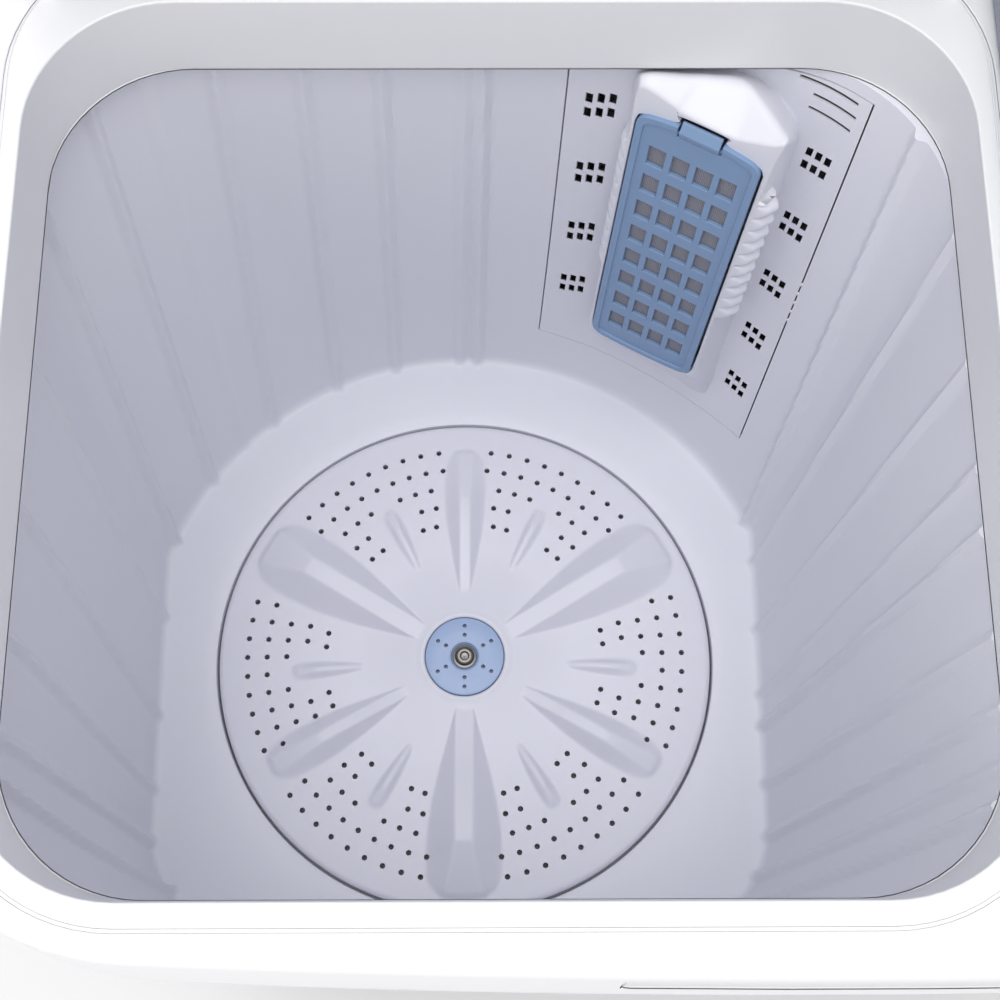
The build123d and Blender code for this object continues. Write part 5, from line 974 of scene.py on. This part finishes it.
def through_stations(stations, share):
    """A closed smooth run through stations: between each two of them the cubic whose slope at a station is
    half the way from the station before it to the one after it."""
    stations = np.asarray(stations, float)
    first = share.astype(int)
    t = (share - first)[:, None]
    p0, p1, p2, p3 = [stations[(first + k) % len(stations)] for k in (-1, 0, 1, 2)]
    return 0.5 * (2 * p1 + (p2 - p0) * t + (2 * p0 - 5 * p1 + 4 * p2 - p3) * t ** 2
                  + (3 * p1 - p0 - 3 * p2 + p3) * t ** 3)


def rounded_run(corners, cuts, steps=6):
    """A run of points through corners that are cut back and rounded with a quadratic curve. Every corner is a
    whole ring of points, one for each station."""
    rows = [corners[0]]
    for before, corner, after, cut in zip(corners[:-2], corners[1:-1], corners[2:], cuts):
        back, ahead = before - corner, after - corner
        back_length = np.linalg.norm(back, axis=1)[:, None]
        ahead_length = np.linalg.norm(ahead, axis=1)[:, None]
        start = corner + back / back_length * np.minimum(cut, 0.45 * back_length)
        end = corner + ahead / ahead_length * np.minimum(cut, 0.45 * ahead_length)
        for t in np.linspace(0, 1, steps):
            rows.append((1 - t) ** 2 * start + 2 * t * (1 - t) * corner + t ** 2 * end)
    rows.append(corners[-1])
    return rows


def filter_housing():
    """The raised housing: rings of stations from the mouth over the front edge and the hood's ridge to the
    foot on the wall. Its louvres are half circles along the sides, pushed outwards between the front edge and
    the foot, with sunk valleys between them."""
    count = 900
    share = even_places([s[1] for s in HOUSING], count)
    mouth, edge, turn, foot = [through_stations([s[k] for s in HOUSING], share) for k in range(4)]
    wall = wall_at(foot[:, 0], foot[:, 1])

    def level(flat, depth):
        return np.column_stack([flat, np.full(count, depth)])

    sunk = foot * 0.97 + mouth * 0.03
    corners = [level(mouth, MOUTH_DEPTH), level(mouth, FRONT_DEPTH), edge, turn,
               np.column_stack([foot, wall]),
               np.column_stack([foot + (foot - turn[:, :2]) * 0.12, wall - 0.8])]
    rows = rounded_run(corners, [0.5, 2.2, 5.0, 4.0], 6)
    rows.append(np.column_stack([sunk, wall - 2.6]))
    rows.append(level(mouth * 1.02, MOUTH_DEPTH - 0.5))
    grid = np.stack(rows)
    along = grid[..., 1]
    depth = grid[..., 2]
    phase = ((along - LOUVRE_FIRST) / LOUVRE_PITCH) % 1.0
    fin = np.sqrt(np.clip(1 - (2 * phase - 1) ** 2, 0, 1))
    span = np.clip((along - LOUVRE_FIRST) * 4, 0, 1) * np.clip((LOUVRE_LAST - along) * 4, 0, 1)
    inwards = np.clip((FRONT_DEPTH - depth) / LOUVRE_DEPTH, 0, 1)
    reach = np.sqrt(np.clip(4 * inwards * (1 - inwards), 0, 1))
    on_side = np.clip((np.abs(grid[..., 0]) - SIDE_BEGINS) / SIDE_RUN, 0, 1)
    proud = np.where(grid[..., 0] > 0, LOUVRE_RIGHT, LOUVRE_LEFT)
    push = span * reach * on_side * (proud * fin - LOUVRE_VALLEY)
    grid[..., 0] += np.sign(grid[..., 0]) * push
    points = in_machine(grid).reshape(-1, 3)
    faces = grid_faces(len(rows), count, close_rows=True)
    piece("filter_housing_moulding", points, faces, "machine", "tub_lilac", ("filter_panel",), sharp=50.0)


# Grooves round the openings

def rounded_rectangle(left, right, front, back, corner, steps=24):
    """A rounded rectangle's outline: a quarter circle at each corner, joined by straight lines."""
    bends = [((left + corner, front + corner), 180), ((right - corner, front + corner), 270),
             ((right - corner, back - corner), 0), ((left + corner, back - corner), 90)]
    return np.concatenate([along_arc(c, corner, a, a + 90, np.linspace(0, 1, steps)) for c, a in bends])


def groove_bed(name, outline):
    """The soft bed of the line round an opening: a shallow hollow, a parabola across, carried along the
    line."""
    across = inward(outline)
    section = [(share, GROOVE_UNDER + GROOVE_HOLLOW * (1 - share ** 2)) for share in np.linspace(-1, 1, 9)]
    section += [(1, BED_DEPTH), (-1, BED_DEPTH)]
    rows = [np.column_stack([outline + across * share * GROOVE_HALF, np.full(len(outline), DECK_Z - depth)])
            for share, depth in section]
    points = np.concatenate(rows)
    faces = grid_faces(len(rows), len(outline), close_rows=True)
    piece(name, points, faces[:, ::-1], "machine", "deck_white", sharp=60.0)


def grooves():
    """The bed round the wash opening and the one round the spin opening."""
    half = OPENING_HALF + GROOVE_OFF
    front = WASH_Y - OPENING_DEEP - GROOVE_OFF_FRONT
    corner = OPENING_CORNER + GROOVE_OFF
    groove_bed("wash_groove_bed", rounded_rectangle(WASH_X - half, WASH_X + half, front, GROOVE_BACK, corner))
    round_share = np.linspace(0, 1, 144, endpoint=False)
    groove_bed("spin_groove_bed", along_arc((SPIN_X, SPIN_Y), SPIN_OPENING + GROOVE_OFF, 0, 360, round_share))


# Console marks and back screws

def on_face(points):
    """Points of the console's face, as across, up and out, in the machine's millimetres."""
    lean = radians(CONSOLE_LEAN)
    up = np.array([0.0, sin(lean), cos(lean)])
    out = np.array([0.0, -cos(lean), sin(lean)])
    return (np.array([0.0, CONSOLE_FRONT, DECK_Z]) + points[:, :1] * np.array([1.0, 0.0, 0.0])
            + points[:, 1:2] * up + points[:, 2:] * out)


def dial_stroke(work, x, angle, outer):
    """One stroke of a dial: a thin block that points away from the knob's axis, as eight corners."""
    way = np.array([cos(angle), sin(angle)])
    side = np.array([-way[1], way[0]]) * STROKE_HALF
    flat = [way * STROKE_IN - side, way * outer - side, way * outer + side, way * STROKE_IN + side]
    corners = np.array([(x + p[0], KNOB_HEIGHT + p[1], h) for h in (STROKE_LOW, STROKE_HIGH) for p in flat])
    made = [work.verts.new(p) for p in on_face(corners) * MM]
    for face in ((0, 3, 2, 1), (4, 5, 6, 7), (0, 1, 5, 4), (1, 2, 6, 5), (2, 3, 7, 6), (3, 0, 4, 7)):
        work.faces.new([made[i] for i in face])


def dial_number(work, x, angle, label):
    """One number of a dial: text made a mesh, then laid on the face plate."""
    text = bpy.data.curves.new("number", "FONT")
    text.body = label
    text.size = NUMBER_SIZE
    text.align_x = "CENTER"
    text.align_y = "CENTER"
    text.extrude = NUMBER_HALF_DEPTH
    carrier = bpy.data.objects.new("number", text)
    bpy.context.scene.collection.objects.link(carrier)
    bpy.context.view_layer.update()
    mesh = bpy.data.meshes.new_from_object(carrier.evaluated_get(bpy.context.evaluated_depsgraph_get()))
    points = np.array([tuple(v.co) for v in mesh.vertices])
    points += (x + NUMBER_RADIUS * cos(angle), KNOB_HEIGHT + NUMBER_RADIUS * sin(angle), NUMBER_MIDDLE)
    mesh.vertices.foreach_set("co", (on_face(points) * MM).ravel())
    work.from_mesh(mesh)
    bpy.data.objects.remove(carrier)
    bpy.data.meshes.remove(mesh)


def dial_marks(name, x, labels):
    """Plain marks round a dial: a stroke for each step, longer at the numbers, and the numbers themselves."""
    work = bmesh.new()
    steps = 3 * (len(labels) - 1)
    for step in range(steps + 1):
        angle = radians(90.0 + DIAL_TURN / 2 - DIAL_TURN * step / steps)
        dial_stroke(work, x, angle, STROKE_OUT_SHORT if step % 3 else STROKE_OUT)
    for i, label in enumerate(labels):
        dial_number(work, x, radians(90.0 + DIAL_TURN / 2 - DIAL_TURN * i / (len(labels) - 1)), label)
    bmesh.ops.remove_doubles(work, verts=work.verts, dist=0.001 * MM)
    mesh = bpy.data.meshes.new(name)
    work.to_mesh(mesh)
    work.free()
    adopt(name, mesh, "machine", "knob_blue", sharp=30.0)


def back_screws():
    """Ten pan head screws round the rear cover: a turned outline with a washer, a dome and a socket."""
    profile = rounded_corners([(0.01, -1.0), (4.6, -1.0), (4.6, 0.6), (3.6, 0.7), (3.4, 1.8), (2.2, 2.4),
                               (1.4, 2.4), (1.3, 1.2), (0.01, 1.2)], 0.25)
    points, faces = turned(profile, 24)
    outwards = np.column_stack([-points[:, 0], points[:, 2] + COVER_BACK, points[:, 1]])
    columns = (-COVER_SIDE, -COVER_INNER, COVER_INNER, COVER_SIDE)
    places = [(x, z) for x in columns for z in (COVER_LOW, COVER_HIGH)]
    places += [(x, (COVER_LOW + COVER_HIGH) / 2) for x in (-COVER_SIDE, COVER_SIDE)]
    rows = np.concatenate([outwards + np.array([x, 0.0, z]) for x, z in places])
    faces = np.concatenate([faces + len(points) * i for i in range(len(places))])
    piece("back_screws", rows, faces, "machine", "zinc_steel")


# Build

wash_tub()
grooves()
dial_marks("wash_timer_marks", WASH_KNOB_X, ["0", "3", "6", "9", "12", "15"])
dial_marks("spin_timer_marks", SPIN_KNOB_X, ["0", "1", "2", "3", "4", "5"])
back_screws()
filter_panel()
filter_housing()
pulsator()
pulsator_cap()
pulsator_screw()

# Nodes that the pieces above stand for, the one that stays as it is, and the edge radius of the rest
REPLACED = {"wash_tub", "pulsator", "pulsator_cap", "pulsator_screw", "filter_panel"}
KEPT = {"filter_mesh"}
EDGE = {"deck": 1.0, "filter_frame": 0.5, "filter_latch": 0.5, "cabinet": 0.8, "base": 0.8,
        "control_console": 1.0, "wash_lid": 0.8, "spin_lid": 0.8}
EDGE_OF_OTHERS = 0.4
for name in BODY_OF:
    if name in REPLACED:
        continue
    if name in KEPT:
        frame["nodes"][name].data.materials.clear()
        frame["nodes"][name].data.materials.append(MATERIALS[SLOT_OF[name]])
        continue
    refined(name, SLOT_OF[name], EDGE.get(name, EDGE_OF_OTHERS))


# Room, lights and camera

def stage():
    """A plain pale floor."""
    mesh = bpy.data.meshes.new("studio_floor")
    side = 6.0
    corners = [(-side, -side, 0), (side, -side, 0), (side, side, 0), (-side, side, 0)]
    mesh.from_pydata(corners, [], [(0, 1, 2, 3)])
    floor = bpy.data.objects.new("studio_floor", mesh)
    bpy.context.scene.collection.objects.link(floor)
    material, tree, place = start_material("pale_floor")
    cloud = node(tree, "ShaderNodeTexNoise", {"Vector": place, "Scale": 1.5, "Detail": 2.0})
    mix = node(tree, "ShaderNodeMix", {0: cloud.outputs["Fac"], 6: linear("#E9E9EB"), 7: linear("#EDEDEE")},
               data_type="RGBA")
    shader = node(tree, "ShaderNodeBsdfPrincipled", {"Base Color": mix.outputs[2], "Roughness": 0.8})
    mesh.materials.append(finish_material(material, tree, shader, "#EBEBEC"))


def area_light(name, place, target, size, power):
    """A square soft light that looks at a point."""
    lamp = bpy.data.lights.new(name, "AREA")
    lamp.size = size
    lamp.energy = power
    made = bpy.data.objects.new(name, lamp)
    bpy.context.scene.collection.objects.link(made)
    way = Vector(target) - Vector(place)
    made.location = place
    made.rotation_euler = way.to_track_quat("-Z", "Y").to_euler()


def camera():
    """The camera at the photograph's place, from its yaw, pitch and roll."""
    flat = cos(CAMERA_PITCH)
    ahead = Vector((sin(CAMERA_YAW) * flat, cos(CAMERA_YAW) * flat, -sin(CAMERA_PITCH)))
    level = Vector((cos(CAMERA_YAW), -sin(CAMERA_YAW), 0.0))
    above = level.cross(ahead)
    right = level * cos(CAMERA_ROLL) + above * sin(CAMERA_ROLL)
    up = above * cos(CAMERA_ROLL) - level * sin(CAMERA_ROLL)
    turn = Matrix((right, up, -ahead)).transposed()
    lens = bpy.data.cameras.new("camera")
    lens.sensor_width = SENSOR
    lens.lens = CAMERA_FOCAL_PIXELS * SENSOR / PHOTO_PIXELS
    lens.clip_start = 0.01
    made = bpy.data.objects.new("camera", lens)
    made.matrix_world = Matrix.Translation(CAMERA_PLACE) @ turn.to_4x4()
    bpy.context.scene.collection.objects.link(made)
    bpy.context.scene.camera = made


def world():
    """Even white light from all round, and a white background for the camera."""
    made = bpy.data.worlds.new("studio")
    made.use_nodes = True
    tree = made.node_tree
    tree.nodes.clear()
    path = node(tree, "ShaderNodeLightPath")
    light = node(tree, "ShaderNodeBackground", {"Color": linear("#FBFAF9"), "Strength": 0.86})
    seen = node(tree, "ShaderNodeBackground", {"Color": linear("#FAFAFB"), "Strength": 1.0})
    mix = node(tree, "ShaderNodeMixShader", {0: path.outputs["Is Camera Ray"], 1: light.outputs[0],
                                             2: seen.outputs[0]})
    node(tree, "ShaderNodeOutputWorld", {"Surface": mix.outputs[0]})
    bpy.context.scene.world = made


stage()
world()
area_light("overhead", (-0.25, -0.30, 3.7), (-0.1, 0.0, 0.4), 2.2, 48.0)
area_light("fill", (-1.5, -1.8, 2.2), (-0.1, 0.0, 0.6), 1.6, 6.0)
camera()
bpy.context.scene.view_settings.view_transform = "Standard"
